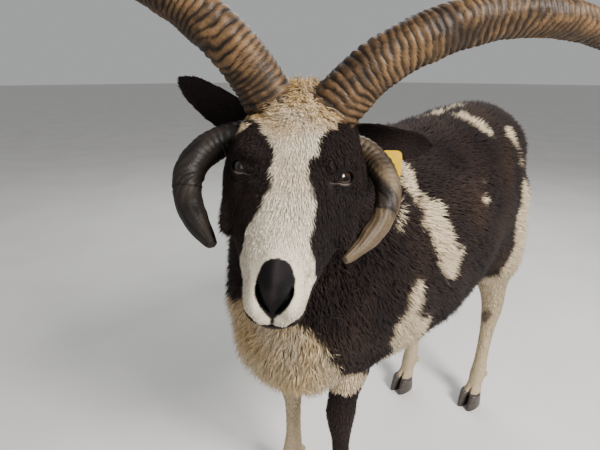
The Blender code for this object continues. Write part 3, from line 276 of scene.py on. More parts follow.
def head_matrix():
    """The head's frame in the ram's: columns are left, forward and up, then the poll."""
    pitch = Matrix.Rotation(math.radians(HEAD_PITCH), 3, "X")
    yaw = Matrix.Rotation(math.radians(HEAD_YAW), 3, "Z")
    facing = yaw @ Vector((0, -1, 0))
    roll = Matrix.Rotation(math.radians(-HEAD_ROLL), 3, facing)
    turn = roll @ yaw @ pitch
    columns = [turn @ Vector(axis) for axis in ((1, 0, 0), (0, -1, 0), (0, 0, 1))]
    made = Matrix([[column[row] for column in columns] for row in range(3)]).to_4x4()
    made.translation = POLL
    return made


HEAD_FRAME = head_matrix()
HEAD_TURN = np.array(HEAD_FRAME.to_3x3())
HEAD_PLACE = np.array(POLL)

# The solids stand over the middle of their box: how far is read from one claw.
CLAW_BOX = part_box("hoof_fore_left_outer")
CLAW_X = FORELEG[-1][0] + HOOF_SPLAY
CLAW_Y = FORELEG[-1][1] - TOE_AHEAD + (CLAW[0][1] - CLAW[0][2]) / 2
SHIFT = np.array((
    (CLAW_BOX[0][0] + CLAW_BOX[1][0]) / 2 - CLAW_X,
    (CLAW_BOX[0][1] + CLAW_BOX[1][1]) / 2 - CLAW_Y,
    0.0,
))


def from_head(points, side=1):
    """Points of the head's frame in the ram's frame. side is -1 for the right half."""
    points = np.asarray(points, float) * (side, 1, 1)
    return points @ HEAD_TURN.T + HEAD_PLACE


def to_head(points):
    """Points of the ram's frame in the head's frame."""
    return (points - HEAD_PLACE) @ HEAD_TURN


def unit(vectors):
    """Vectors made one long."""
    return vectors / np.maximum(np.linalg.norm(vectors, axis=-1, keepdims=True), 1e-9)


def smooth_step(value, low, high):
    """0 at low, 1 at high, smooth between."""
    t = np.clip((value - low) / (high - low), 0, 1)
    return t * t * (3 - 2 * t)


def curve(rows, count):
    """count rows on a smooth curve through the given ones."""
    rows = np.asarray(rows, float)
    last = len(rows) - 1
    at = np.linspace(0, last, count)
    k = np.minimum(at.astype(int), last - 1)
    t = (at - k)[:, None]
    a, b, c, d = (rows[np.clip(k + j, 0, last)] for j in (-1, 0, 1, 2))
    return 0.5 * (2 * b + (c - a) * t + (2 * a - 5 * b + 4 * c - d) * t * t
                  + (3 * b - a - 3 * c + d) * t ** 3)


def rows_at(rows, key, values):
    """The columns of smooth rows where the key column has these values."""
    fine = curve(rows, 240)
    fine = fine[np.argsort(fine[:, key])]
    return [np.interp(values, fine[:, key], fine[:, i]) for i in range(fine.shape[1])]


def waves(points, size, seed, count=20):
    """A smooth random field of about -1 to 1 whose bumps are about size across."""
    draw = np.random.default_rng(seed)
    ways = unit(draw.normal(size=(count, 3))) * draw.uniform(0.6, 1.5, (count, 1))
    phases = draw.uniform(0, 2 * math.pi, count)
    total = np.zeros(points.shape[:-1])
    for way, phase in zip(ways * (math.pi / size), phases):
        total += np.sin(points @ way + phase)
    return total / math.sqrt(count / 2) / 1.4


# Distance fields: below 0 inside a form, above 0 outside it.
def joined(a, b, soft):
    """The union of two fields, rounded over a width of soft."""
    h = np.clip(0.5 + 0.5 * (b - a) / soft, 0, 1)
    return b * (1 - h) + a * h - soft * h * (1 - h)


def carved(a, b, soft):
    """Field a with field b taken out, rounded over a width of soft."""
    return -joined(-a, b, soft)


def section(a, b, half, above, below, power):
    """Distance from an oval section, along the line to its middle."""
    high = np.where(b > 0, above, below)
    q = ((np.abs(a) / half) ** power + (np.abs(b) / high) ** power) ** (1 / power)
    return np.hypot(a, b) * (1 - 1 / np.maximum(q, 1e-3))


def ellipsoid(x, y, z, centre, radii):
    """Distance from an ellipsoid along the axes."""
    px, py, pz = x - centre[0], y - centre[1], z - centre[2]
    rx, ry, rz = radii
    k0 = np.sqrt((px / rx) ** 2 + (py / ry) ** 2 + (pz / rz) ** 2)
    k1 = np.sqrt((px / rx ** 2) ** 2 + (py / ry ** 2) ** 2 + (pz / rz ** 2) ** 2)
    return k0 * (k0 - 1) / np.maximum(k1, 1e-6)


def torso_field(x, y, z):
    """The torso's skin."""
    _, top, bottom, half = rows_at(TORSO, 0, y)
    middle, high = (top + bottom) / 2, (top - bottom) / 2 - CORE_INSET
    round_it = section(x, z - middle, half - CORE_INSET, high, high, TORSO_SQUARENESS)
    ends = np.maximum(TORSO[-1][0] + CORE_INSET - y, y - TORSO[0][0] + CORE_INSET)
    return -joined(-round_it, -(ends + 0 * round_it), 0.03)


def neck_field(x, y, z):
    """The neck's skin, as slabs between stations along its bend."""
    rows = curve(NECK, 14)
    places = rows[:, :3]
    along = unit(np.gradient(places, axis=0))
    shares = np.linspace(0, 1, len(rows))[:, None]
    side = np.array((1.0, 0, 0)) * (1 - shares) + HEAD_TURN[:, 0] * shares
    side = unit(side - along * (side * along).sum(1, keepdims=True))
    fore = np.cross(side, along)
    found = np.full(np.broadcast_shapes(x.shape, y.shape, z.shape), 1.0, np.float32)

    def parts(k):
        px, py, pz = x - places[k, 0], y - places[k, 1], z - places[k, 2]
        return [px * axis[k, 0] + py * axis[k, 1] + pz * axis[k, 2] for axis in (along, side, fore)]

    near = parts(0)
    for k in range(len(rows) - 1):
        far = parts(k + 1)
        inside = (near[0] >= 0) & (far[0] <= 0)
        t = near[0] / np.maximum(near[0] - far[0], 1e-9)
        a = near[1] + (far[1] - near[1]) * t
        b = near[2] + (far[2] - near[2]) * t
        half, throat, nape = (rows[k, i] + (rows[k + 1, i] - rows[k, i]) * t - CORE_INSET
                              for i in (3, 4, 5))
        inside &= half > 0.002
        reach = section(a, b, np.maximum(half, 0.002), np.maximum(throat, 0.002),
                        np.maximum(nape, 0.002), 2.1)
        found = np.where(inside, np.minimum(found, reach), found)
        near = far
    return found


def swing(side, z):
    """How far a hind leg at this height stands ahead and out of its plain place."""
    share = np.clip((SWING_TOP - z) / SWING_REACH, 0, 1) * (side < 0)
    return RIGHT_HIND_AHEAD * share, RIGHT_HIND_OUT * share


def leg_field(x, y, z, rows, side, hind):
    """A leg's skin from inside the body to the coronet."""
    cx, cy, _, half, deep = rows_at(rows, 2, z)
    if hind:
        ahead, out = swing(side, z)
        cx, cy = cx + out, cy - ahead
    hair = HAIR_INSET * (1 - smooth_step(z, 0.34, 0.42))
    found = section(x - side * cx, y - cy, half - hair, deep - hair, deep - hair, 2.15)
    ends = np.maximum(z - rows[0][2], rows[-1][2] - 0.003 - z)
    return np.maximum(found, ends)


def leg_details(x, y, z, found, rows, side, hind):
    """Dewclaws and the cleft between the toes."""
    near = min(rows, key=lambda row: abs(row[2] - DEWCLAW_HEIGHT))
    ahead, out = swing(side, z * 0 + DEWCLAW_HEIGHT) if hind else (0.0, 0.0)
    foot_x, foot_y = side * (near[0] + out), near[1] - ahead + DEWCLAW_BEHIND
    for shift in (-DEWCLAW_SPLAY, DEWCLAW_SPLAY):
        knob = ellipsoid(x, y, z, (foot_x + shift, foot_y, DEWCLAW_HEIGHT), DEWCLAW_RADII)
        found = joined(found, knob, 0.005)
    toe = rows[-1]
    ahead, out = swing(side, z * 0 + toe[2]) if hind else (0.0, 0.0)
    cleft = ellipsoid(x, y, z, (side * (toe[0] + out), toe[1] - ahead - 0.020, toe[2] - 0.002),
                      (0.0028, 0.016, 0.022))
    return carved(found, cleft, 0.004)


def tail_field(x, y, z):
    """The tail's skin under its wool."""
    _, cy, _, half, deep = rows_at(TAIL, 2, z)
    found = section(x, y - cy, half - 0.013, np.maximum(deep - 0.012, 0.004),
                    np.maximum(deep - 0.012, 0.004), 2.0)
    return np.maximum(found, np.maximum(z - TAIL[0][2], TAIL[-1][2] + 0.012 - z))


def eye_axes():
    """In the head's frame: along an eye's slit, across it and out of it."""
    facing = EYE_FACING.normalized()
    slit = (EYE_SLIT - facing * EYE_SLIT.dot(facing)).normalized()
    return [np.array(axis) for axis in (slit, facing.cross(slit), facing)]


def head_field(x, f, u):
    """The head's skin in the head's frame: x from its middle, f forward, u up."""
    _, top, middle, bottom, half = rows_at(HEAD, 0, f)
    found = section(x, u - middle, half, top - middle, middle - bottom, HEAD_SQUARENESS)
    ends = np.maximum(HEAD[0][0] - f, f - 0.2585)
    found = -joined(-found, -(ends + 0 * found), 0.012)
    for centre, radii in FACE_FORMS:
        found = joined(found, ellipsoid(x, f, u, centre, radii), 0.012)
    found = found + HAIR_INSET
    for centre, radii, soft in FACE_RIDGES:
        found = joined(found, ellipsoid(x, f, u, centre, radii), soft)
    for centre, radii, soft in FACE_HOLLOWS:
        found = carved(found, ellipsoid(x, f, u, centre, radii), soft)
    return eye_opening(x, f, u, mouth_and_nose(x, f, u, found))


def rod(x, f, u, start, end):
    """Distance from a rod between two stations, each a place and a radius."""
    (place, radius), (other, last) = start, end
    way = np.subtract(other, place)
    px, pf, pu = x - place[0], f - place[1], u - place[2]
    t = np.clip((px * way[0] + pf * way[1] + pu * way[2]) / (way @ way), 0, 1)
    away = np.sqrt((px - way[0] * t) ** 2 + (pf - way[1] * t) ** 2 + (pu - way[2] * t) ** 2)
    return away - (radius + (last - radius) * t)


def nostril_gap(x, down):
    """Distance from a nostril's slit, beside the middle of the face and down its slope."""
    pieces = [rod(x, down, 0.0, ((*start[:2], 0.0), start[2]), ((*end[:2], 0.0), end[2]))
              for start, end in zip(NOSTRIL[:-1], NOSTRIL[1:])]
    return np.minimum.reduce(pieces)


def mouth_line(x):
    """The level of the mouth at this distance from the middle of the face."""
    return MOUTH_LEVEL + MOUTH_RISE * smooth_step(x, 0.002, 0.022)


def mouth_and_nose(x, f, u, found):
    """The nostrils, the groove of the lip and the line of the mouth."""
    slit = np.maximum(nostril_gap(x, NOSE_SLOPE[0] * f + NOSE_SLOPE[1] * u), 0.226 - f)
    found = carved(found, np.maximum(slit, -found - NOSTRIL_DEPTH), 0.0016)
    found = carved(found, rod(x, f, u, *LIP_GROOVE), 0.003)
    line = np.exp(-((u - mouth_line(x)) / MOUTH_WIDTH) ** 2)
    return found + MOUTH_DEPTH * (line * smooth_step(f, MOUTH_CORNER - 0.006, MOUTH_CORNER))


def eye_parts(x, f, u):
    """Places of the head's frame along an eye's slit, across it and out of it, and their
    distance from its middle."""
    px, pf, pu = x - EYE[0], f - EYE[1], u - EYE[2]
    a, b, c = (px * axis[0] + pf * axis[1] + pu * axis[2] for axis in eye_axes())
    return a, b, c, np.sqrt(px * px + pf * pf + pu * pu)


def lid_gap(a, b):
    """Distance from the opening between the lids, which tapers to a front and a back corner."""
    span = np.clip(1 - ((a - 0.0010) / LID_REACH) ** 2, 0, 1)
    middle = 0.0008 * span - 0.0016 * np.clip(a / LID_REACH, 0, 1) ** 2
    return np.abs(b - middle) - LID_RISE * span ** 0.75


def eye_opening(x, f, u, found):
    """The rim over an eye, its lids with a fold over and under them, and its opening."""
    a, b, c, away = eye_parts(x, f, u)
    for centre, radii, soft in EYE_RIMS:
        found = joined(found, ellipsoid(a, b, c, centre, radii), soft)
    found = joined(found, away - (EYE_RADIUS + LID_THICKNESS), 0.009)
    for side, (off, half, start) in ((1, FOLD_ABOVE), (-1, FOLD_BELOW)):
        fold = np.abs(away - (EYE_RADIUS + off)) - half
        found = carved(found, np.maximum(np.maximum(fold, start - side * b), -c), 0.002)
    found = carved(found, ellipsoid(a, b, c, *TEAR_GROOVE), 0.002)
    found = carved(found, np.maximum(lid_gap(a, b), 0.002 - c), 0.0014)
    return np.maximum(found, EYE_RADIUS + 0.0002 - away)


def surface(values, low, step):
    """Points and quads on the zero level of a grid of distances."""
    inside = values < 0
    corners = [inside[i:i - 1 or None, j:j - 1 or None, k:k - 1 or None]
               for i in (0, 1) for j in (0, 1) for k in (0, 1)]
    count = sum(corner.astype(np.int8) for corner in corners)
    active = (count > 0) & (count < 8)
    cells = np.argwhere(active)
    index = np.full(active.shape, -1, np.int64)
    index[active] = np.arange(len(cells))
    total, crossings = np.zeros((len(cells), 3)), np.zeros(len(cells))
    for axis in range(3):
        others = [other for other in range(3) if other != axis]
        for first in (0, 1):
            for second in (0, 1):
                start = np.zeros(3, int)
                start[others[0]], start[others[1]] = first, second
                end = start.copy()
                end[axis] = 1
                a = values[tuple((cells + start).T)]
                b = values[tuple((cells + end).T)]
                crosses = (a < 0) != (b < 0)
                t = np.where(crosses, a / np.where(crosses, a - b, 1), 0)
                place = np.tile(start.astype(float), (len(cells), 1))
                place[:, axis] = t
                total += place * crosses[:, None]
                crossings += crosses
    points = np.asarray(low) + (cells + total / crossings[:, None]) * step
    quads = []
    for axis in range(3):
        one, two = (axis + 1) % 3, (axis + 2) % 3
        near = [slice(1, -1)] * 3
        far = [slice(1, -1)] * 3
        near[axis], far[axis] = slice(0, -1), slice(1, None)
        a, b = inside[tuple(near)], inside[tuple(far)]
        for starts_inside in (True, False):
            edges = np.argwhere((a != b) & (a == starts_inside))
            edges[:, one] += 1
            edges[:, two] += 1
            ring = []
            for back_one, back_two in ((1, 1), (0, 1), (0, 0), (1, 0)):
                cell = edges.copy()
                cell[:, one] -= back_one
                cell[:, two] -= back_two
                ring.append(index[tuple(cell.T)])
            ring = np.stack(ring if starts_inside else ring[::-1], axis=1)
            quads.append(ring)
    return points, np.concatenate(quads)


def mesh_piece(name, points, faces):
    """A mesh object from arrays. All its faces have as many corners."""
    mesh = bpy.data.meshes.new(name)
    count, corners = faces.shape
    mesh.vertices.add(len(points))
    mesh.vertices.foreach_set("co", np.ascontiguousarray(points, np.float32).ravel())
    mesh.loops.add(count * corners)
    mesh.loops.foreach_set("vertex_index", np.ascontiguousarray(faces, np.int32).ravel())
    mesh.polygons.add(count)
    mesh.polygons.foreach_set("loop_start", np.arange(0, count * corners, corners, dtype=np.int32))
    mesh.polygons.foreach_set("use_smooth", np.ones(count, bool))
    mesh.update(calc_edges=True)
    made = bpy.data.objects.new(name, mesh)
    bpy.context.scene.collection.objects.link(made)
    return made


def tube_faces(rings, sides, start=0):
    """Quads between rings of equally many points."""
    k, i = np.meshgrid(np.arange(rings - 1), np.arange(sides), indexing="ij")
    a, b = start + k * sides + i, start + k * sides + (i + 1) % sides
    return np.stack([a, b, b + sides, a + sides], axis=-1).reshape(-1, 4)


def tube(name, rings):
    """A closed piece through rings of points, each end closed by a fan."""
    rings = np.asarray(rings, float)
    count, sides, _ = rings.shape
    points = np.concatenate([rings.reshape(-1, 3), rings[0].mean(0)[None], rings[-1].mean(0)[None]])
    first, last = count * sides, count * sides + 1
    shape = bmesh.new()
    vertices = [shape.verts.new(point) for point in points]
    for corners in tube_faces(count, sides):
        shape.faces.new([vertices[i] for i in corners])
    for i in range(sides):
        j = (i + 1) % sides
        shape.faces.new((vertices[first], vertices[j], vertices[i]))
        end = (count - 1) * sides
        shape.faces.new((vertices[last], vertices[end + i], vertices[end + j]))
    bmesh.ops.recalc_face_normals(shape, faces=shape.faces)
    mesh = bpy.data.meshes.new(name)
    shape.to_mesh(mesh)
    shape.free()
    mesh.shade_smooth()
    made = bpy.data.objects.new(name, mesh)
    bpy.context.scene.collection.objects.link(made)
    return made


def union(target, others):
    """Joins closed pieces to target and removes them."""
    group = bpy.data.collections.new("pieces")
    bpy.context.scene.collection.children.link(group)
    for other in others:
        group.objects.link(other)
        bpy.context.scene.collection.objects.unlink(other)
    step = target.modifiers.new("join", "BOOLEAN")
    step.operation = "UNION"
    step.solver = "MANIFOLD"
    step.operand_type = "COLLECTION"
    step.collection = group
    graph = bpy.context.evaluated_depsgraph_get()
    made = bpy.data.meshes.new_from_object(target.evaluated_get(graph))
    target.modifiers.clear()
    target.data = made
    for other in others:
        bpy.data.objects.remove(other)
    bpy.data.collections.remove(group)
    made.shade_smooth()
    return target


def set_colours(piece, colours):
    """Gives each point of a mesh its colour."""
    layer = piece.data.color_attributes.new("coat", "FLOAT_COLOR", "POINT")
    whole = np.concatenate([colours, np.ones((len(colours), 1))], axis=1)
    layer.data.foreach_set("color", whole.astype(np.float32).ravel())


def colour_rings(piece, colours):
    """Gives a piece made by tube the colours of its rings' points."""
    ends = np.stack([colours[0].mean(0), colours[-1].mean(0)])
    set_colours(piece, np.clip(np.concatenate([colours.reshape(-1, 3), ends]), 0, 1))


def points_of(piece):
    """A mesh's points as an array."""
    found = np.empty(len(piece.data.vertices) * 3, np.float32)
    piece.data.vertices.foreach_get("co", found)
    return found.reshape(-1, 3).astype(float)


def grid(low, high, step):
    """The three axes of a grid, shaped to broadcast."""
    axes = [np.arange(a, b + step, step) for a, b in zip(low, high)]
    return axes[0][:, None, None], axes[1][None, :, None], axes[2][None, None, :]


def body_skin():
    """Torso, neck, upper legs and tail."""
    low, high = (-0.19, -0.42, 0.24), (0.19, 0.40, 0.80)
    x, y, z = grid(low, high, BODY_STEP)
    found = joined(torso_field(x, y, z), neck_field(x, y, z), 0.035)
    for side in SIDES.values():
        for rows, hind in ((FORELEG, False), (HINDLEG, True)):
            limb = leg_field(x, y, z, rows, side, hind)
            limb = limb + 0.30 * np.clip(LEG_SEAM - z, 0, None)
            limb = np.maximum(limb, LEG_SEAM - 0.035 - z)
            found = joined(found, limb, 0.025)
    found = joined(found, tail_field(x, y, z), 0.018)
    return mesh_piece("skin", *surface(found, low, BODY_STEP))


def leg_skins():
    """The four lower legs."""
    made = []
    for side in SIDES.values():
        for rows, hind in ((FORELEG, False), (HINDLEG, True)):
            low = np.array((min(side * 0.02, side * 0.12), -0.32 if not hind else 0.10, 0.022))
            high = low + (0.10, 0.14 if not hind else 0.24, LEG_SEAM + 0.034 - 0.022)
            x, y, z = grid(low, high, LEG_STEP)
            limb = leg_field(x, y, z, rows, side, hind)
            limb = leg_details(x, y, z, limb, rows, side, hind)
            limb = limb + 0.30 * np.clip(z - LEG_SEAM, 0, None)
            limb = np.maximum(limb, z - LEG_SEAM - 0.028)
            made.append(mesh_piece("leg", *surface(limb, low, LEG_STEP)))
    return made


def head_skin():
    """The head, from a field of its left half."""
    half, start, end = 0.094, (-0.060, -0.150), (0.272, 0.016)
    steps = int(half / HEAD_STEP)
    x = ((np.arange(steps) + 0.5) * HEAD_STEP)[:, None, None]
    f = np.arange(start[0], end[0], HEAD_STEP)[None, :, None]
    u = np.arange(start[1], end[1], HEAD_STEP)[None, None, :]
    found = head_field(x, f, u)
    whole = np.concatenate([found[::-1], found])
    low = (-(steps - 0.5) * HEAD_STEP, start[0], start[1])
    points, quads = surface(whole, low, HEAD_STEP)
    # The head's frame is left-handed, so its faces are turned round.
    return mesh_piece("head", from_head(points), quads[:, ::-1])


def ear_rings(word, count, across, thickness):
    """Rings of points round an ear, rolled as a leaf."""
    route = curve(EAR_ROUTES[word], count)
    along = unit(np.gradient(route, axis=0))
    opening = unit(EAR_OPENING - along * (along @ EAR_OPENING)[:, None])
    side = np.cross(along, opening)
    at = np.linspace(0, len(EAR_WIDTHS) - 1, count)
    widths = np.interp(at, range(len(EAR_WIDTHS)), EAR_WIDTHS)
    tip = np.clip((1 - np.linspace(0, 1, count)) / 0.16, 0, 1)
    widths = widths * np.maximum(np.sqrt(1 - (1 - tip) ** 2), 0.10)
    cups = np.interp(at, range(len(EAR_CUP)), EAR_CUP) * math.pi
    radius = widths / np.sin(np.minimum(cups / 2, math.pi / 2))
    rings = []
    for flip in (1, -1):
        shares = np.sin(np.linspace(-1, 1, across) * math.pi / 2) * flip
        edge = np.sqrt(np.clip(1 - shares ** 2, 0, 1))
        offset = flip * thickness / 2 * (0.22 + 0.78 * edge)
        angle = shares[None] * cups[:, None] / 2
        reach = radius[:, None] + offset[None]
        sideways, outwards = np.sin(angle) * reach, np.cos(angle) * reach
        outwards = outwards - (radius * np.cos(cups / 2))[:, None]
        rings.append(route[:, None] + side[:, None] * sideways[..., None]
                     - opening[:, None] * outwards[..., None])
    return np.concatenate(rings, axis=1)


def ear_pieces():
    """Both ears as fine closed leaves."""
    return [tube(f"ear_{word}", from_head(ear_rings(word, 34, 15, EAR_THICKNESS * 0.8), side))
            for word, side in SIDES.items()]


def capsules(points, stations):
    """Distance to a chain of rounded, tapering rods, each station x, y, z, radius."""
    found = np.full(len(points), 9.0)
    stations = np.asarray(stations, float)
    for start, end in zip(stations[:-1], stations[1:]):
        way = end[:3] - start[:3]
        t = np.clip((points - start[:3]) @ way / max(way @ way, 1e-9), 0, 1)
        away = np.linalg.norm(points - start[:3] - t[:, None] * way, axis=1)
        found = np.minimum(found, away - (start[3] + (end[3] - start[3]) * t))
    return found


# The pale markings of the body: chains of rounded rods, each station x, y, z and radius.
PALE_PATCHES = (
    # the band over the left side, and its foot
    ((0.088, -0.190, 0.672, 0.010), (0.112, -0.178, 0.638, 0.017), (0.126, -0.156, 0.603, 0.018),
     (0.141, -0.148, 0.564, 0.020), (0.146, -0.126, 0.523, 0.025), (0.152, -0.120, 0.496, 0.015)),
    ((0.146, -0.124, 0.520, 0.018), (0.150, -0.096, 0.516, 0.011)),
    # a thin streak ahead of it
    ((0.105, -0.204, 0.618, 0.005), (0.125, -0.221, 0.584, 0.006), (0.134, -0.225, 0.551, 0.003)),
    # low on the flank
    ((0.140, -0.190, 0.478, 0.014), (0.138, -0.190, 0.440, 0.024), (0.130, -0.180, 0.400, 0.032),
     (0.105, -0.160, 0.350, 0.040)),
    # on the back, the far side of the loin and the rump
    ((0.022, 0.062, 0.710, 0.012), (0.050, 0.080, 0.698, 0.014), (0.086, 0.098, 0.680, 0.010)),
    ((-0.030, 0.010, 0.700, 0.012), (-0.012, 0.140, 0.722, 0.016)),
    ((0.078, 0.150, 0.694, 0.010), (0.100, 0.178, 0.655, 0.014), (0.108, 0.176, 0.630, 0.007)),
    # a small streak on the flank
    ((0.134, -0.006, 0.626, 0.006), (0.139, -0.004, 0.584, 0.006)),
    # the buttock, down to the hock
    ((0.118, 0.212, 0.572, 0.020), (0.114, 0.222, 0.510, 0.036), (0.112, 0.228, 0.440, 0.040),
     (0.095, 0.235, 0.380, 0.050), (0.068, 0.255, 0.330, 0.060)),
    # the bib and the hem of the chest
    ((0.020, -0.385, 0.480, 0.040), (0.030, -0.375, 0.420, 0.072), (0.030, -0.330, 0.330, 0.085)),
    ((-0.040, -0.360, 0.420, 0.050), (-0.060, -0.300, 0.330, 0.060)),
    ((0.060, -0.300, 0.310, 0.030), (0.110, -0.240, 0.315, 0.028)),
    # the side that the camera doesn't see
    ((-0.130, -0.120, 0.640, 0.030), (-0.160, -0.060, 0.560, 0.045),
     (-0.160, -0.080, 0.450, 0.050)),
    ((-0.110, 0.200, 0.640, 0.030), (-0.130, 0.240, 0.520, 0.045),
     (-0.090, 0.220, 0.380, 0.060)),
    ((-0.130, 0.060, 0.420, 0.030), (-0.100, 0.000, 0.350, 0.040)),
)
# In the head's frame: by the root of the left horns, over the right eye and on the throat.
HEAD_PATCHES = (
    ((0.070, 0.046, -0.014, 0.007), (0.076, 0.036, -0.034, 0.008)),
    ((-0.050, 0.070, -0.012, 0.007), (-0.060, 0.050, -0.014, 0.009)),
    ((0.040, 0.138, -0.186, 0.004), (0.058, 0.122, -0.174, 0.005)),
)
# The blaze: forward, then how far it reaches to the right and to the left.
BLAZE = (
    (-0.060, -0.050, 0.046), (0.020, -0.056, 0.046), (0.042, -0.055, 0.038), (0.070, -0.042, 0.027),
    (0.090, -0.031, 0.019), (0.113, -0.021, 0.009), (0.134, -0.018, 0.011), (0.153, -0.021, 0.019),
    (0.179, -0.031, 0.029), (0.195, -0.042, 0.033), (0.208, -0.060, 0.037), (0.222, -0.070, 0.060),
    (0.280, -0.080, 0.080),
)


def edged(distance, points, seed, soft=0.0035):
    """1 inside a patch and 0 outside, with a ragged edge."""
    rough = 0.006 * waves(points, 0.035, seed) + 0.003 * waves(points, 0.011, seed + 1)
    return smooth_step(-(distance + rough), -soft, soft)


def head_share(local):
    """1 on the head and 0 on the neck, for places in the head's frame."""
    return smooth_step(local[:, 1], -0.034, -0.004) * smooth_step(local[:, 2], -0.168, -0.142)


def nose_gap(local):
    """How far places in the head's frame lie outside the leather of the nose."""
    x, f, u = np.abs(local[:, 0]), local[:, 1], local[:, 2]
    down = NOSE_SLOPE[0] * f + NOSE_SLOPE[1] * u
    table = np.array(NOSE)
    beside = x - np.interp(down, table[:, 0], table[:, 1])
    above = table[1, 0] - down
    outside = np.maximum(0.205 - f, MOUTH_LEVEL - u)
    return np.maximum(np.maximum(beside, above), outside)


def nose_share(local):
    """1 on the black leather of the nose."""
    rough = 0.0005 * waves(local, 0.006, 31)
    return smooth_step(-(nose_gap(local) + rough), -0.0009, 0.0009)


def chin_share(local):
    """1 on the lower lip and chin, painted dark: their own black hair and painted shade under the
    upper lip.
    """
    under = local[:, 2] - mouth_line(np.abs(local[:, 0])) + 0.0006 * waves(local, 0.006, 33)
    return smooth_step(-under, -0.0006, 0.0010) * smooth_step(local[:, 1], 0.196, 0.204)


def pale_share(points):
    """How pale the coat is at places of the ram's frame, from 0 for black to 1."""
    local = to_head(points)
    on_head = head_share(local)
    pale = np.zeros(len(points))
    for number, stations in enumerate(PALE_PATCHES):
        pale = np.maximum(pale, edged(capsules(points, stations), points, 50 + number))
    x, y, z = points.T
    low = edged(z - 0.375, points, 91, 0.010)
    hind = (y > 0.08) * low
    right_fore = (y < -0.10) * (x < 0) * edged(z - 0.345, points, 92, 0.010)
    front_edge = edged(np.abs(y - np.interp(z, (0.24, 0.36), (0.235, 0.170))) - 0.010, points, 93)
    hind = hind * (1 - 0.75 * front_edge * (z > 0.22))
    left_fore = (y < -0.10) * (x > 0) * (z < 0.300)
    pale = np.maximum(pale * (1 - left_fore), np.maximum(hind, right_fore))
    pale = pale * (1 - on_head)
    _, right, left = rows_at(BLAZE, 0, local[:, 1])
    beyond = np.maximum(right - local[:, 0], local[:, 0] - left)
    face = edged(beyond, points, 97, 0.0022) * smooth_step(local[:, 2], -0.135, -0.115)
    # The lower lip and chin stay dark: their own black hair and painted shade under the upper lip.
    face = face * (1 - nose_share(local)) * (1 - chin_share(local))
    pale = np.maximum(pale, face * on_head)
    for number, stations in enumerate(HEAD_PATCHES):
        patch = edged(capsules(local, stations) + 0.004, points, 110 + number, 0.002)
        pale = np.maximum(pale, patch)
    return pale


def coat_colours(points):
    """Root and tip colours of the coat at places of the ram's frame. The roots' darker colours are
    painted shade deep in the coat.
    """
    pale = pale_share(points)[:, None]
    local = to_head(points)
    on_head = head_share(local)[:, None]
    forward = local[:, 1]
    gold = 1 - 0.75 * smooth_step(forward, 0.050, 0.095) - 0.25 * smooth_step(forward, 0.12, 0.18)
    gold = gold[:, None] * on_head * np.clip(0.75 + 0.40 * waves(points, 0.025, 5), 0, 1)[:, None]
    bib = smooth_step(-points[:, 1], 0.28, 0.34)[:, None] * (1 - on_head)
    gold = np.maximum(gold, bib * np.clip(0.34 + 0.30 * waves(points, 0.030, 8), 0, 1)[:, None])
    cream_shaded_root = CREAM_SHADED_ROOT * (1 - on_head) + WHITE_SHADED_ROOT * on_head
    cream_tip = CREAM_TIP * (1 - on_head) + WHITE_TIP * on_head
    cream_shaded_root = cream_shaded_root * (1 - gold) + GOLD_SHADED_ROOT * gold
    cream_tip = cream_tip * (1 - gold) + GOLD_TIP * gold
    brown = np.clip(0.30 + 0.45 * waves(points, 0.060, 6), 0, 1)[:, None] * (1 - 0.5 * on_head)
    dark_tip = BLACK_TIP * (1 - brown) + BROWN_TIP * brown
    root = BLACK_SHADED_ROOT * (1 - pale) + cream_shaded_root * pale
    tip = dark_tip * (1 - pale) + cream_tip * pale
    return root, tip


def roots(piece, count, weight):
    """Places spread over a mesh with the normals there, as dense as weight says."""
    mesh = piece.data
    mesh.calc_loop_triangles()
    corners = np.empty(len(mesh.loop_triangles) * 3, np.int32)
    mesh.loop_triangles.foreach_get("vertices", corners)
    corners = corners.reshape(-1, 3)
    points = points_of(piece)
    normals = np.empty(len(mesh.vertices) * 3, np.float32)
    mesh.vertex_normals.foreach_get("vector", normals)
    normals = normals.reshape(-1, 3).astype(float)
    a, b, c = (points[corners[:, i]] for i in range(3))
    areas = np.linalg.norm(np.cross(b - a, c - a), axis=1) / 2
    chances = np.cumsum(areas * weight((a + b + c) / 3))
    picks = (np.arange(count) + RNG.random(count)) / count * chances[-1]
    k = np.minimum(np.searchsorted(chances, picks), len(corners) - 1)
    s, t = RNG.random((2, count, 1))
    flip = s + t > 1
    s, t = np.where(flip, 1 - s, s), np.where(flip, 1 - t, t)
    place = a[k] + (b - a)[k] * s + (c - a)[k] * t
    n = normals[corners[k]]
    normal = unit(n[:, 0] * (1 - s - t) + n[:, 1] * s + n[:, 2] * t)
    return place, normal


def flattened(ways, normals):
    """Directions laid down on the surface."""
    return unit(ways - normals * (ways * normals).sum(1, keepdims=True))


def body_lie(points):
    """The way the wool lies: back and down the body, and down the neck and legs."""
    share = np.clip((points[:, 1] + 0.30) / 0.15, 0, 1) * smooth_step(points[:, 2], 0.34, 0.42)
    return np.stack([0 * share, 0.12 + 0.68 * share, -1.0 + 0.35 * share], axis=1)


def head_lie(local):
    """The way hair lies on the head, in the head's frame: down the nose and out to the cheeks."""
    x, f, u = local.T
    out = np.tanh(x / 0.022) * (0.55 + 0.25 * smooth_step(f, 0.10, 0.0))
    side = smooth_step(-u, 0.035, 0.085)
    forward = 1.0 - 1.5 * side * (1 - smooth_step(f, 0.17, 0.22))
    down = -0.15 - 1.0 * side
    return np.stack([out * (1 - side), forward, down], axis=1)


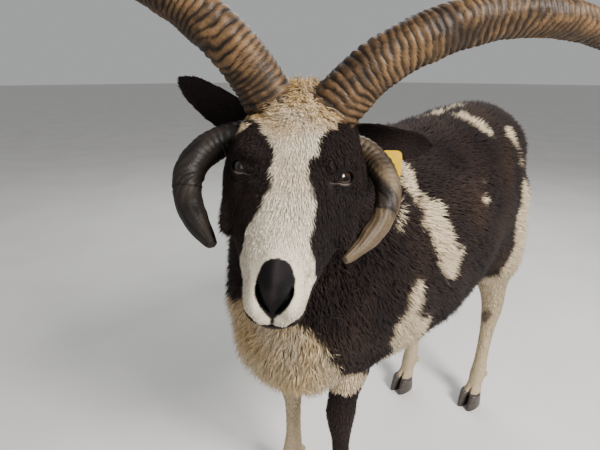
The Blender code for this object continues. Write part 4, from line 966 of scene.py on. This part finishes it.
def clump_pull(points, spacing, seed):
    """From each place to the middle of the clump of coat that it belongs to."""
    draw = np.random.default_rng(seed)
    count = max(8, int(len(points) * 0.02 * (0.030 / spacing) ** 2))
    middles = points[draw.choice(len(points), count, replace=False)]
    tree = kdtree.KDTree(count)
    for number, middle in enumerate(middles):
        tree.insert(middle, number)
    tree.balance()
    nearest = np.array([tree.find(point)[1] for point in points])
    return middles[nearest] - points, nearest


def tuft_arrays(place, normal, lie, length, width, angles, rings, sink, bend):
    """Points of tapered, bent tufts: an array of tufts by points."""
    count = len(place)
    side = np.cross(normal, lie)
    centre = place - normal * sink
    points = []
    corners = np.array((math.pi / 2, math.pi * 7 / 6, math.pi * 11 / 6))
    for k in range(rings + 1):
        share = k / rings
        angle = angles[0] + (angles[1] - angles[0]) * share
        way = unit(lie * np.cos(angle)[:, None] + normal * np.sin(angle)[:, None]
                   + side * (bend * share)[:, None])
        if k < rings:
            upright = np.cross(way, side)
            wide = (width * (1 - share) ** 0.7)[:, None]
            for corner in corners:
                points.append(centre + side * wide * math.cos(corner) * 0.5
                              - upright * wide * math.sin(corner) * 0.30)
            centre = centre + way * (length / rings)[:, None]
        else:
            points.append(centre)
    return np.stack(points, axis=1).reshape(count, -1, 3)


def tuft_faces(rings):
    """The triangles of one tuft."""
    faces = [(0, 2, 1)]
    for k in range(rings - 1):
        for i in range(3):
            a, b = 3 * k + i, 3 * k + (i + 1) % 3
            faces += [(a, b, b + 3), (a, b + 3, a + 3)]
    last = 3 * (rings - 1)
    faces += [(last + i, last + (i + 1) % 3, 3 * rings) for i in range(3)]
    return np.array(faces)


def coat(name, place, normal, lie, length, width, angles, rings, uv, sink=0.002, bend=None,
         colours=None):
    """Coat pieces of tufts on given roots, each piece within its share of triangles."""
    bend = np.zeros(len(place)) if bend is None else bend
    points = tuft_arrays(place, normal, lie, length, width, angles, rings, sink, bend)
    root, tip = colours if colours else coat_colours(place)
    vary = np.clip(1 + 0.16 * RNG.normal(size=(len(place), 1)), 0.6, 1.5)
    # Each tuft runs from its dark root colour to its tip colour: painted shade deep in the coat.
    steps = np.concatenate([np.repeat(np.arange(rings) / rings, 3), [1.0]]) ** 0.8
    shade = (root[:, None] * (1 - steps[None, :, None]) + tip[:, None] * steps[None, :, None])
    shade = np.clip(shade * vary[:, None], 0, 1)
    faces = tuft_faces(rings)
    count = points.shape[1]
    turn = 2 * math.pi * np.arange(3) / 3
    ring_uv = np.stack([np.cos(turn), np.sin(turn)], axis=1) * PATCH / 2
    local_uv = [ring_uv * (1 - 0.8 * k / rings) for k in range(rings)] + [np.zeros((1, 2))]
    uvs = uv[:, None] + np.concatenate(local_uv)[None]
    per_piece = PIECE_TRIANGLES // len(faces)
    parts = max(1, math.ceil(len(place) / per_piece))
    made = []
    for number, chosen in enumerate(np.array_split(np.arange(len(place)), parts)):
        amount = len(chosen)
        starts = np.arange(amount)[:, None, None] * count
        piece_faces = (faces[None] + starts).reshape(-1, 3)
        piece_points = points[chosen].reshape(-1, 3) + SHIFT
        piece = mesh_piece(f"{name}_{number + 1}", piece_points, piece_faces)
        set_colours(piece, shade[chosen].reshape(-1, 3))
        layer = piece.data.uv_layers.new(name="OFBake")
        spread = uvs[chosen].reshape(-1, 2)[piece_faces.ravel()]
        layer.data.foreach_set("uv", spread.astype(np.float32).ravel())
        piece.data.materials.append(COAT_MATERIAL)
        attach(piece, "root")
        made.append(piece)
    return made


def body_uv(points):
    """A place on the unwrap of torso, neck and upper legs: round it by angle, along it by y."""
    turn = np.arctan2(points[:, 0], 0.52 - points[:, 2]) / (2 * math.pi) + 0.5
    return np.stack([0.01 + 0.98 * turn, 0.01 + 0.58 * (points[:, 1] + 0.44) / 0.86], axis=1)


def head_uv(local):
    """A place on the unwrap of the head: round it by angle, along it by forward."""
    turn = np.arctan2(local[:, 0], -0.068 - local[:, 2]) / (2 * math.pi) + 0.5
    return np.stack([0.01 + 0.98 * turn, 0.61 + 0.24 * (local[:, 1] + 0.07) / 0.36], axis=1)


def leg_uv(points):
    """A place on the unwrap of the four legs, side by side: round each by angle, along it by z."""
    hind = points[:, 1] > 0
    right = points[:, 0] < 0
    cell = hind * 2 + right
    centre_x = np.where(right, -1, 1) * 0.065
    centre_y = np.where(hind, np.where(right, 0.18, 0.255), -0.25)
    turn = np.arctan2(points[:, 0] - centre_x, points[:, 1] - centre_y) / (2 * math.pi) + 0.5
    return np.stack([0.005 + 0.245 * cell + 0.235 * turn,
                     0.86 + 0.085 * np.clip((points[:, 2] - 0.03) / 0.37, 0, 1)], axis=1)


def wool_share(points):
    """1 where the fleece grows and 0 on the face and the lower legs."""
    x, y, _ = points.T
    on_leg = (np.abs(x) > 0.03) & ((y > 0.125) | (np.abs(y + 0.235) < 0.05))
    bottom = np.where(on_leg, WOOL_BOTTOM, BELLY_BOTTOM)
    high = smooth_step(points[:, 2], bottom - 0.035, bottom + 0.015)
    return high * (1 - head_share(to_head(points)))


def graded(amounts, *shares):
    """The first amount, and each later one by its own share."""
    total = amounts[0]
    for amount, share in zip(amounts[1:], shares):
        total = total + amount * share
    return total


def leaning(draw, amounts, spread, count, *shares):
    """Angles off the skin in radians, varied by spread degrees."""
    return np.radians(graded(amounts, *shares) + draw.normal(0, spread, count))


def fleece(skin):
    """The wool of torso, neck, upper legs and tail: locks over a dense, finer underwool."""
    def weight(points):
        return (wool_share(points) > 0.02) * 1.0
    for name, count, rings, seed in WOOL_LAYERS:
        place, normal = roots(skin, count, weight)
        share = wool_share(place)
        draw = np.random.default_rng(seed)
        bib = smooth_step(-place[:, 1], 0.27, 0.33) * smooth_step(-place[:, 2], -0.46, -0.36)
        pull, nearest = clump_pull(place, 0.018, seed + 1)
        tangle = draw.normal(size=(nearest.max() + 1, 3))[nearest]
        lie = flattened(body_lie(place) + 0.22 * tangle + 0.30 * draw.normal(size=place.shape)
                        + pull * (14 + 16 * bib)[:, None], normal)
        lumps = 1 + 0.16 * waves(place, 0.045, 13)
        length = graded(WOOL_LENGTH, share, bib) * lumps * draw.uniform(0.82, 1.12, count)
        width = graded(WOOL_WIDTH, share) * draw.uniform(0.8, 1.2, count)
        start = leaning(draw, WOOL_ANGLES[0], 7, count, share, bib)
        end = leaning(draw, WOOL_ANGLES[1], 8, count, share, bib)
        if rings == 1:
            length, width = length * UNDERWOOL_LENGTH, width * UNDERWOOL_WIDTH
            start = (start + end) / 2
        coat(name, place, normal, lie, length, width, (start, end), rings, body_uv(place), 0.002,
             draw.normal(0, 0.30, count))


def leg_hair(skin):
    """Short hair on the lower legs."""
    def weight(points):
        return (wool_share(points) < 0.25) * (points[:, 2] < 0.36) * 1.0
    place, normal = roots(skin, LEG_TUFTS, weight)
    draw = np.random.default_rng(21)
    down = np.stack([0 * place[:, 0], 0.12 + 0 * place[:, 0], -1 + 0 * place[:, 0]], axis=1)
    lie = flattened(down + 0.16 * draw.normal(size=place.shape), normal)
    low = smooth_step(place[:, 2], 0.05, 0.30)
    length = graded(LEG_LENGTH, low) * draw.uniform(0.8, 1.2, LEG_TUFTS)
    width = graded(LEG_WIDTH, low) * draw.uniform(0.8, 1.2, LEG_TUFTS)
    start = leaning(draw, LEG_ANGLES[0], 3, LEG_TUFTS, low)
    end = leaning(draw, LEG_ANGLES[1], 3, LEG_TUFTS)
    coat("leg_hair", place, normal, lie, length, width, (start, end), 2, leg_uv(place), 0.0006)


def head_hair(skin):
    """Short hair on the head, longest where it meets the neck."""
    def from_lips(local):
        off = np.abs(local[:, 2] - mouth_line(np.abs(local[:, 0])))
        return np.where(local[:, 1] > MOUTH_CORNER - 0.006, off, 1.0)

    def weight(points):
        local = to_head(points)
        a, b, _, away = eye_parts(np.abs(local[:, 0]), local[:, 1], local[:, 2])
        bare = (away < EYE_RADIUS + 0.0070) & (lid_gap(a, b) < 0.0016)
        bare |= (from_lips(local) < 0.0018) | (nose_gap(local) < 0.0004)
        return (head_share(local) > 0.02) * ~bare * (1 + 0.6 * (local[:, 2] > -0.08))
    place, normal = roots(skin, HEAD_TUFTS, weight)
    local = to_head(place)
    draw = np.random.default_rng(31)
    pull, _ = clump_pull(place, 0.012, 32)
    lie = head_lie(local) @ HEAD_TURN.T
    lie = flattened(lie + 0.14 * draw.normal(size=place.shape) + pull * 16, normal)
    share = head_share(local)
    a, b, _, away = eye_parts(np.abs(local[:, 0]), local[:, 1], local[:, 2])
    off_lids = np.where(away < EYE_RADIUS + 0.010, lid_gap(a, b), 1.0)
    near_eye = np.minimum(smooth_step(off_lids, 0.0, 0.012), 0.35 + smooth_step(away, 0.016, 0.030))
    muzzle = smooth_step(local[:, 1], 0.150, 0.225)
    length = graded(HEAD_LENGTH, muzzle) * (0.22 + 0.78 * np.minimum(near_eye, 1.0))
    length = length * (0.35 + 0.65 * smooth_step(nose_gap(local), 0.0, 0.012))
    length = length * (0.45 + 0.55 * smooth_step(from_lips(local), 0.001, 0.008))
    length = (length + NAPE_LENGTH * (1 - share)) * draw.uniform(0.75, 1.2, HEAD_TUFTS)
    width = graded(HEAD_WIDTH, muzzle, 1 - share) * draw.uniform(0.8, 1.2, HEAD_TUFTS)
    start = leaning(draw, HEAD_ANGLES[0], 5, HEAD_TUFTS, muzzle)
    end = leaning(draw, HEAD_ANGLES[1], 5, HEAD_TUFTS)
    coat("face_hair", place, normal, lie, length, width, (start, end), 2, head_uv(local), 0.0006)


def poll_hair(skin):
    """The tangled wool between the horns."""
    def weight(points):
        local = to_head(points)
        ragged = 0.012 * waves(points, 0.022, 43)
        half = 0.050 - 0.024 * smooth_step(local[:, 1], -0.005, 0.050)
        inside = (np.abs(local[:, 0] + 0.004) + 0.4 * ragged < half) & (local[:, 2] > -0.030)
        inside &= local[:, 1] > -0.024
        return inside * (1 - smooth_step(local[:, 1] + ragged, 0.040, 0.100))
    place, normal = roots(skin, POLL_TUFTS, weight)
    local = to_head(place)
    draw = np.random.default_rng(41)
    pull, nearest = clump_pull(place, 0.016, 42)
    tangle = draw.normal(size=(nearest.max() + 1, 3))[nearest]
    x = local[:, 0]
    lie = np.stack([0.9 * np.tanh(x / 0.03), 0.9 + 0 * x, 0 * x], axis=1)
    lie = flattened(lie @ HEAD_TURN.T + 0.40 * tangle + 0.35 * draw.normal(size=place.shape)
                    + pull * 24, normal)
    near = 1 - smooth_step(local[:, 1], 0.030, 0.085)
    length = graded(POLL_LENGTH, near) * draw.uniform(0.75, 1.25, POLL_TUFTS)
    width = graded(POLL_WIDTH, near) * draw.uniform(0.8, 1.2, POLL_TUFTS)
    start = leaning(draw, POLL_ANGLES[0], 8, POLL_TUFTS, near)
    end = leaning(draw, POLL_ANGLES[1], 10, POLL_TUFTS)
    coat("poll_wool", place, normal, lie, length, width, (start, end), 3, head_uv(local), 0.001,
         draw.normal(0, 0.4, POLL_TUFTS))


def ear_hair(pieces):
    """Short hair on both ears, lying towards their tips."""
    for piece, (word, side) in zip(pieces, SIDES.items()):
        root = from_head(EAR_ROUTES[word][1:2], side)[0]
        tip = from_head(EAR_ROUTES[word][-1:], side)[0]
        way = unit(tip - root)

        def weight(points):
            return ((points - root) @ way > -0.012) * 1.0
        place, normal = roots(piece, EAR_TUFTS, weight)
        draw = np.random.default_rng(61 + side)
        lie = flattened(way + 0.18 * draw.normal(size=place.shape), normal)
        length = EAR_LENGTH * draw.uniform(0.7, 1.2, EAR_TUFTS)
        width = EAR_WIDTH * draw.uniform(0.8, 1.2, EAR_TUFTS)
        start = leaning(draw, EAR_ANGLES[0], 3, EAR_TUFTS)
        end = leaning(draw, EAR_ANGLES[1], 4, EAR_TUFTS)
        along = 0.4 * ((place - root) @ way + 0.02) / 0.16
        uv = np.stack([0.05 + (0.45 if side < 0 else 0) + along,
                       0.965 + 0.3 * ((place - root) @ HEAD_TURN[:, 2])], axis=1)
        # Black hair whose darker roots are painted shade.
        black = [np.tile(colour, (EAR_TUFTS, 1)) for colour in (BLACK_SHADED_ROOT, BLACK_TIP)]
        coat(f"ear_hair_{word}", place, normal, lie, length, width, (start, end), 2, uv, 0.0004,
             colours=black)


def node_material(name):
    """A new material with its node tree and its shader."""
    made = bpy.data.materials.new(name)
    made.use_nodes = True
    tree = made.node_tree
    return made, tree, tree.nodes["Principled BSDF"]


def noise(tree, scale, detail=4.0, stretch=(1, 1, 1)):
    """A noise over the object's own coordinates."""
    place = tree.nodes.new("ShaderNodeTexCoord")
    mapping = tree.nodes.new("ShaderNodeMapping")
    mapping.inputs["Scale"].default_value = stretch
    made = tree.nodes.new("ShaderNodeTexNoise")
    made.inputs["Scale"].default_value = scale
    made.inputs["Detail"].default_value = detail
    tree.links.new(place.outputs["Object"], mapping.inputs["Vector"])
    tree.links.new(mapping.outputs["Vector"], made.inputs["Vector"])
    return made.outputs["Fac"]


def ramp(tree, source, stops):
    """Colours along a value."""
    made = tree.nodes.new("ShaderNodeValToRGB")
    elements = made.color_ramp.elements
    while len(elements) < len(stops):
        elements.new(0.5)
    for element, (at, colour) in zip(elements, stops):
        element.position = at
        element.color = (*colour, 1)
    tree.links.new(source, made.inputs["Fac"])
    return made.outputs["Color"]


def multiplied(tree, a, b):
    """One colour times another."""
    made = tree.nodes.new("ShaderNodeMix")
    made.data_type = "RGBA"
    made.blend_type = "MULTIPLY"
    made.inputs["Factor"].default_value = 1.0
    tree.links.new(a, made.inputs[6])
    tree.links.new(b, made.inputs[7])
    return made.outputs[2]


def bump(tree, shader, source, strength, distance):
    """Small relief from a value."""
    made = tree.nodes.new("ShaderNodeBump")
    made.inputs["Strength"].default_value = strength
    made.inputs["Distance"].default_value = distance
    tree.links.new(source, made.inputs["Height"])
    tree.links.new(made.outputs["Normal"], shader.inputs["Normal"])


def painted(name, roughness, specular, scale, contrast, relief=None, sheen=0.0, stretch=(1, 1, 1)):
    """A material that takes its colour from the mesh, mottled by noise. relief is the strength
    and height of the noise's bumps."""
    made, tree, shader = node_material(name)
    colour = tree.nodes.new("ShaderNodeVertexColor")
    colour.layer_name = "coat"
    fine = noise(tree, scale, 5.0, stretch)
    mottle = ramp(tree, fine, ((0.25, (1 - contrast,) * 3), (0.75, (1.0,) * 3)))
    mixed = multiplied(tree, colour.outputs["Color"], mottle)
    tree.links.new(mixed, shader.inputs["Base Color"])
    shader.inputs["Roughness"].default_value = roughness
    shader.inputs["Specular IOR Level"].default_value = specular
    if sheen:
        shader.inputs["Sheen Weight"].default_value = sheen
        shader.inputs["Sheen Roughness"].default_value = 0.5
    if relief:
        bump(tree, shader, fine, *relief)
    return made


COAT_MATERIAL = painted("coat", 0.72, 0.10, 260.0, 0.22, sheen=0.02)
SKIN_MATERIAL = painted("skin", 0.62, 0.10, 900.0, 0.35, (0.6, 0.0010))
HORN_MATERIAL = painted("horn", 0.50, 0.20, 420.0, 0.45, (0.55, 0.0009))
EYE_MATERIAL = painted("eye_wet", 0.04, 0.50, 900.0, 0.15)
HOOF_MATERIAL = painted("hoof", 0.42, 0.50, 300.0, 0.30, (0.35, 0.0005), stretch=(1, 1, 5))


def upper_path(side):
    """An upper horn's middle line, as in the solids."""
    bends = curve([(bend,) for bend in UPPER_HORN_BENDS[side]], UPPER_HORN_STEPS)[:, 0]
    heading, axis = UPPER_HORN_HEADING.normalized(), UPPER_HORN_AXIS.normalized()
    step = UPPER_HORN_LENGTH[side] / (UPPER_HORN_STEPS - 1)
    at, found = UPPER_HORN_ROOT.copy(), []
    for bend in bends:
        found.append(tuple(at))
        heading = Matrix.Rotation(math.radians(bend) * step / 0.1, 3, axis) @ heading
        at = at + heading * step
    return found


def lower_path(side):
    """A lower horn's middle line, as in the solids."""
    places = curve(LOWER_HORN_ROUTE, LOWER_HORN_STEPS)
    root = LOWER_HORN_ROUTE[0][0]
    curl = LOWER_HORN_CURL[side] * np.linspace(0, 1, LOWER_HORN_STEPS) ** 2
    places[:, 0] = root + (places[:, 0] - root) * LOWER_HORN_SPREAD[side] - curl
    return places


def horn_rings(path, count, sides, radius_at):
    """Rings round a horn's line, from the bottom of its socket: their middles, two directions,
    shares of the length, angles and radii."""
    places = curve(path, count)
    headings = unit(np.gradient(places, axis=0))
    sunk = places[0] - headings[0] * HORN_SOCKET
    places = np.concatenate([[sunk], places])
    headings = np.concatenate([headings[:1], headings])
    shares = np.concatenate([[0.0], np.linspace(0, 1, count)])
    fore = np.array((0.0, 1, 0)) - headings * headings[:, 1:2]
    fore = unit(fore)
    across = np.cross(headings, fore)
    angle = 2 * math.pi * np.arange(sides) / sides
    radius = radius_at(shares)
    return places, across, fore, shares[:, None], angle[None], radius[:, None]


def horn_piece(name, side, rings, relief, colours):
    """A closed horn from its rings, with relief outwards and colours at its points."""
    places, across, fore, _, angle, radius = rings
    reach = radius + relief
    points = (places[:, None] + across[:, None] * (np.cos(angle) * reach)[..., None]
              + fore[:, None] * (np.sin(angle) * reach * HORN_FLATNESS)[..., None])
    piece = tube(name, from_head(points, side) + SHIFT)
    colour_rings(piece, colours)
    piece.data.materials.append(HORN_MATERIAL)
    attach(piece, "root")
    return piece


def mixed_colours(a, b, share):
    """Colours between a and b."""
    share = np.clip(share, 0, 1)[..., None]
    return np.asarray(a) * (1 - share) + np.asarray(b) * share


def upper_horn(word, side):
    """An upper horn, with strong irregular rings that fade towards its tip and painted shade in the
    grooves between them.
    """
    power, slope = UPPER_HORN_TAPER

    def radius_at(share):
        return UPPER_HORN_RADIUS * (1 - share) ** power * (1 - slope * share) + UPPER_HORN_TIP
    rings = horn_rings(upper_path(side), 320, 44, radius_at)
    shares, angle = rings[3:5]
    length = shares * UPPER_HORN_LENGTH[side]
    seed = 70 + side
    grain = np.stack([length + 0 * angle, np.cos(angle) * 0.03 + 0 * length,
                      np.sin(angle) * 0.03 + 0 * length], axis=-1)
    phase = length / UPPER_RING_SPACING + 0.70 * waves(grain, 0.050, seed)
    phase = phase + 0.14 * waves(grain, 0.012, seed + 9)
    ridge = np.abs(np.sin(math.pi * phase)) ** 0.40
    ridge = ridge * (0.72 + 0.28 * smooth_step(waves(grain, 0.016, seed + 12), -0.6, 0.6))
    fade = smooth_step(1 - shares, 0.12, 0.62)
    front = 0.75 + 0.25 * np.cos(angle - 1.2)
    small = np.sin(2 * math.pi * length / 0.0024 + 2 * waves(grain, 0.03, seed + 3))
    relief = (ridge - 0.72) * UPPER_RING_HEIGHT * fade * front + small * 0.00018
    relief = relief + 0.0008 * waves(grain, 0.030, seed + 4) * (0.4 + 0.6 * fade)
    relief[0] = 0
    tone = 0.42 + 0.34 * waves(grain, 0.035, seed + 5) + 0.30 * waves(grain, 0.006, seed + 6)
    tone = tone + 0.30 * smooth_step(shares, 0.10, 0.35) - 0.15
    # Darker in the grooves between rings: painted shade.
    groove = smooth_step(ridge, 0.42, 0.86) * fade + (1 - fade) * 0.75
    colours = mixed_colours(UPPER_HORN_GROOVE_SHADE, mixed_colours(*UPPER_HORN_TONES, tone), groove)
    colours = colours * (1 - 0.45 * smooth_step(shares, 0.55, 0.95))[..., None]
    piece = horn_piece(f"horn_{word}_upper", side, rings, relief, colours)
    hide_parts(f"horn_upper_{word}")


def lower_horn(word, side):
    """A lower horn, ringed at its root and grooved lengthwise towards its worn tip."""
    power, slope = LOWER_HORN_TAPER[side]

    def radius_at(share):
        body = LOWER_HORN_RADIUS[side] * (1 - share) ** power * (1 - slope * share)
        worn = 1 - 0.35 * smooth_step(share, 0.80, 1.0)
        return np.maximum(body + LOWER_HORN_TIP * share, LOWER_HORN_TIP * 0.9) * worn
    rings = horn_rings(lower_path(side), 150, 40, radius_at)
    shares, angle = rings[3:5]
    length = shares * LOWER_HORN_REACH
    seed = 170 + side
    grain = np.stack([length + 0 * angle, np.cos(angle) * 0.02 + 0 * length,
                      np.sin(angle) * 0.02 + 0 * length], axis=-1)
    phase = length / LOWER_RING_SPACING + 0.4 * waves(grain, 0.03, seed)
    ringed = (np.abs(np.sin(math.pi * phase)) ** 0.7 - 0.7) * LOWER_RING_HEIGHT
    ringed = ringed * (1 - smooth_step(shares, 0.1, 0.55))
    fibres = np.sin(angle * 13 + 2.5 * waves(grain, 0.05, seed + 1))
    fibres = fibres + 0.6 * np.sin(angle * 29 + 3 * waves(grain, 0.04, seed + 5))
    grooved = 0.00035 * fibres * smooth_step(shares, 0.30, 0.6)
    crack = np.exp(-((shares - LOWER_HORN_CRACK - 0.01 * np.cos(angle * 2)) / 0.006) ** 2)
    relief = ringed + grooved + 0.0004 * waves(grain, 0.012, seed + 2) - 0.0012 * crack
    relief[0] = 0
    tone = 0.45 + 0.40 * waves(grain, 0.03, seed + 3) + 0.22 * fibres
    outer = smooth_step(np.cos(angle - 0.3) + 0.25 * waves(grain, 0.02, seed + 7), 0.1, 0.9)
    dark = mixed_colours(*LOWER_HORN_TONES, tone)
    if side > 0:
        pale = mixed_colours(*WORN_HORN_TONES, tone)
        share = np.maximum(outer * 0.62, smooth_step(shares, 0.58, 0.66) * (0.62 + 0.38 * outer))
        colours = mixed_colours(dark, pale, share)
    else:
        colours = dark * (0.6 + 0.6 * outer * smooth_step(shares, 0.5, 0.9))[..., None]
    colours = colours * (1 - 0.7 * crack)[..., None]
    piece = horn_piece(f"horn_{word}_lower", side, rings, relief, colours)
    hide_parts(f"horn_lower_{word}")


def eye(word, side):
    """A glossy eye with a level, slotted pupil."""
    bands, sides = 40, 56
    theta = (math.pi * np.arange(1, bands) / bands)[:, None]
    angle = (2 * math.pi * np.arange(sides) / sides)[None]
    a, b = np.sin(theta) * np.cos(angle), np.sin(theta) * np.sin(angle)
    c = np.cos(theta) + 0 * angle
    bulge = EYE_RADIUS * (1 + 0.045 * smooth_step(c, 0.72, 0.95))
    out = sum(share[..., None] * axis for share, axis in zip((a, b, c), eye_axes()))
    rings = np.array(EYE) + out * bulge[..., None]
    pupil = np.maximum(np.abs(a) / PUPIL[0], np.abs(b) / PUPIL[1])
    pupil = 1 - smooth_step(pupil, 0.85, 1.1)
    iris = 1 - smooth_step(np.hypot(a, b), 0.60, 0.70)
    fibre = 0.75 + 0.25 * np.sin(angle * 34 + 3 * np.cos(angle * 5))
    tint = IRIS_COLOUR * (iris * (c > 0) * fibre)[..., None]
    tint = tint + EYE_EDGE_COLOUR * (1 - iris)[..., None]
    piece = tube(f"eyeball_{word}", from_head(rings, side) + SHIFT)
    colour_rings(piece, tint * (1 - 0.93 * pupil * (c > 0))[..., None])
    piece.data.materials.append(EYE_MATERIAL)
    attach(piece, "root")
    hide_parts(f"eye_{word}")


def hoof(foot, label, x, y):
    """One claw: a wedge with a rounded wall, faint rings and a flat sole."""
    sides, count = 36, 16
    rows = curve(CLAW, count)
    angle = 2 * math.pi * np.arange(sides) / sides
    rings, shade = [], []
    for k, (z, behind, ahead, half) in enumerate(rows):
        share = k / (count - 1)
        c, s = np.cos(angle), np.sin(angle)
        trim = 1 - 0.05 * (1 - min(1, share * 8)) - 0.05 * smooth_step(share, 0.9, 1.0)
        wide = half * np.sign(c) * np.abs(c) ** (2 / 2.3) * trim
        point = np.where(s < 0, ahead, behind) * trim
        deep = point * np.sign(s) * np.abs(s) ** (2 / 2.3)
        narrow = 1 - 0.35 * np.clip(-deep / 0.03, 0, 1) ** 2
        ripple = 1 + 0.012 * math.sin(share * 40)
        rings.append(np.stack([x + wide * narrow * ripple, y + deep * ripple, z + 0 * c], axis=1))
        tone = 0.75 + 0.25 * math.sin(share * 25) + 0.35 * share
        shade.append(np.tile(HOOF_COLOUR * tone, (sides, 1)))
    piece = tube(f"claw_{foot}_{label}", np.array(rings) + SHIFT)
    colour_rings(piece, np.array(shade))
    piece.data.materials.append(HOOF_MATERIAL)
    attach(piece, "root")
    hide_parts(f"hoof_{foot}_{label}")


def hooves():
    """The eight claws."""
    for word, side in SIDES.items():
        for part, rows in (("fore", FORELEG), ("hind", HINDLEG)):
            x, y = rows[-1][:2]
            if part == "hind" and side < 0:
                x, y = x + RIGHT_HIND_OUT, y - RIGHT_HIND_AHEAD
            for label, shift in (("outer", HOOF_SPLAY), ("inner", -HOOF_SPLAY)):
                hoof(f"{part}_{word}", label, side * (x + shift), y - TOE_AHEAD)


def tag_material():
    """Plain yellow plastic, a little scuffed."""
    made, tree, shader = node_material("tag_plastic")
    speckle = noise(tree, 160.0, 6.0)
    colour = ramp(tree, speckle, tuple(zip((0.3, 0.7), TAG_TONES)))
    tree.links.new(colour, shader.inputs["Base Color"])
    rough = tree.nodes.new("ShaderNodeMapRange")
    rough.inputs["To Min"].default_value = 0.32
    rough.inputs["To Max"].default_value = 0.55
    tree.links.new(speckle, rough.inputs["Value"])
    tree.links.new(rough.outputs["Result"], shader.inputs["Roughness"])
    bump(tree, shader, speckle, 0.15, 0.0004)
    return made


def stage_and_camera():
    """The photo's view, a pale floor and soft light, mostly from the photo's right."""
    camera = bpy.data.objects.new("camera", bpy.data.cameras.new("camera"))
    bpy.context.scene.collection.objects.link(camera)
    camera.data.lens, camera.data.sensor_width = CAMERA_LENS, CAMERA_SENSOR
    camera.data.sensor_fit = "HORIZONTAL"
    camera.location = Vector(CAMERA_PLACE) + Vector(SHIFT)
    camera.rotation_euler = (math.radians(90 - CAMERA_DOWN), 0, math.radians(CAMERA_TURN))
    bpy.context.scene.camera = camera

    corners = np.array(((-1, -1, 0), (1, -1, 0), (1, 1, 0), (-1, 1, 0)), float)
    floor = mesh_piece("floor", corners * FLOOR_REACH, np.array(((0, 1, 2, 3),)))
    made, tree, shader = node_material("floor")
    shade = ramp(tree, noise(tree, 3.0), tuple(zip((0.3, 0.7), FLOOR_TONES)))
    tree.links.new(shade, shader.inputs["Base Color"])
    shader.inputs["Roughness"].default_value = 0.8
    floor.data.materials.append(made)

    for name, place, target, size, power, colour in LIGHTS:
        light = bpy.data.objects.new(name, bpy.data.lights.new(name, "AREA"))
        bpy.context.scene.collection.objects.link(light)
        light.data.size, light.data.energy, light.data.color = size, power, colour
        light.location = place
        light.rotation_euler = (Vector(target) - Vector(place)).to_track_quat("-Z", "Y").to_euler()
    world = bpy.data.worlds.new("world")
    world.use_nodes = True
    background = world.node_tree.nodes["Background"]
    background.inputs["Color"].default_value = SKY_COLOUR
    background.inputs["Strength"].default_value = SKY_STRENGTH
    bpy.context.scene.world = world


def dress_skin(skin):
    """Gives the skin its markings and its place, with a painted highlight down the nose, painted
    shadow in the nostrils, the lips' dark with painted shade along the mouth, and the coat's shaded
    root colour.
    """
    points = points_of(skin)
    root, tip = coat_colours(points)
    local = to_head(points)
    x, f, u = np.abs(local[:, 0]), local[:, 1], local[:, 2]
    # The skin takes mostly the coat's root colour, and with it that colour's painted shade.
    shade = root * 0.55 + tip * 0.35
    down = NOSE_SLOPE[0] * f + NOSE_SLOPE[1] * u
    # A painted highlight down the middle of the nose leather.
    ridge = np.exp(-(x / 0.0035) ** 2) * smooth_step(-down, -0.222, -0.205)
    shade = mixed_colours(shade, mixed_colours(NOSE_COLOUR, NOSE_HIGHLIGHT, ridge), nose_share(local))
    # Painted shadow inside the nostrils' slits.
    nostril_shadow = smooth_step(-nostril_gap(x, down), -0.0008, 0.0002) * (f > 0.226) * (u > MOUTH_LEVEL)
    shade = mixed_colours(shade, NOSTRIL_SHADOW_COLOUR, nostril_shadow)
    # Along the mouth: the lips' own dark and painted shade in the line of the mouth.
    lips = np.exp(-((u - mouth_line(x)) / 0.0024) ** 2) * (f > MOUTH_CORNER) * head_share(local)
    shade = mixed_colours(shade, LIP_COLOUR, lips)
    a, b, _, away = eye_parts(x, f, u)
    lids = smooth_step(-away, -EYE_RADIUS - 0.0085, -EYE_RADIUS - 0.0050)
    shade = mixed_colours(shade, LIP_COLOUR, lids)
    rim = np.exp(-((lid_gap(a, b) - 0.0010) / 0.0010) ** 2) * lids * smooth_step(-b, -0.001, 0.003)
    rim = rim * smooth_step(a, -0.004, 0.004)
    shade = mixed_colours(shade, LID_COLOUR, rim)
    skin.data.transform(Matrix.Translation(Vector(SHIFT)))
    set_colours(skin, shade)
    skin.data.materials.clear()
    skin.data.materials.append(SKIN_MATERIAL)
    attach(skin, "root")
    nodes = ["head", "neck", "torso", "tail"]
    for word in SIDES:
        nodes += [f"thigh_{word}", f"foreleg_{word}", f"hindleg_{word}", f"ear_{word}"]
    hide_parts(*nodes)


def main():
    stage_and_camera()
    skin = union(body_skin(), leg_skins() + [head_skin()])
    fleece(skin)
    leg_hair(skin)
    head_hair(skin)
    poll_hair(skin)
    ears = ear_pieces()
    ear_hair(ears)
    dress_skin(union(skin, ears))
    for word, side in SIDES.items():
        upper_horn(word, side)
        lower_horn(word, side)
        eye(word, side)
    hooves()
    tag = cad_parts["ear_tag"]
    tag.data.materials.clear()
    tag.data.materials.append(tag_material())


main()
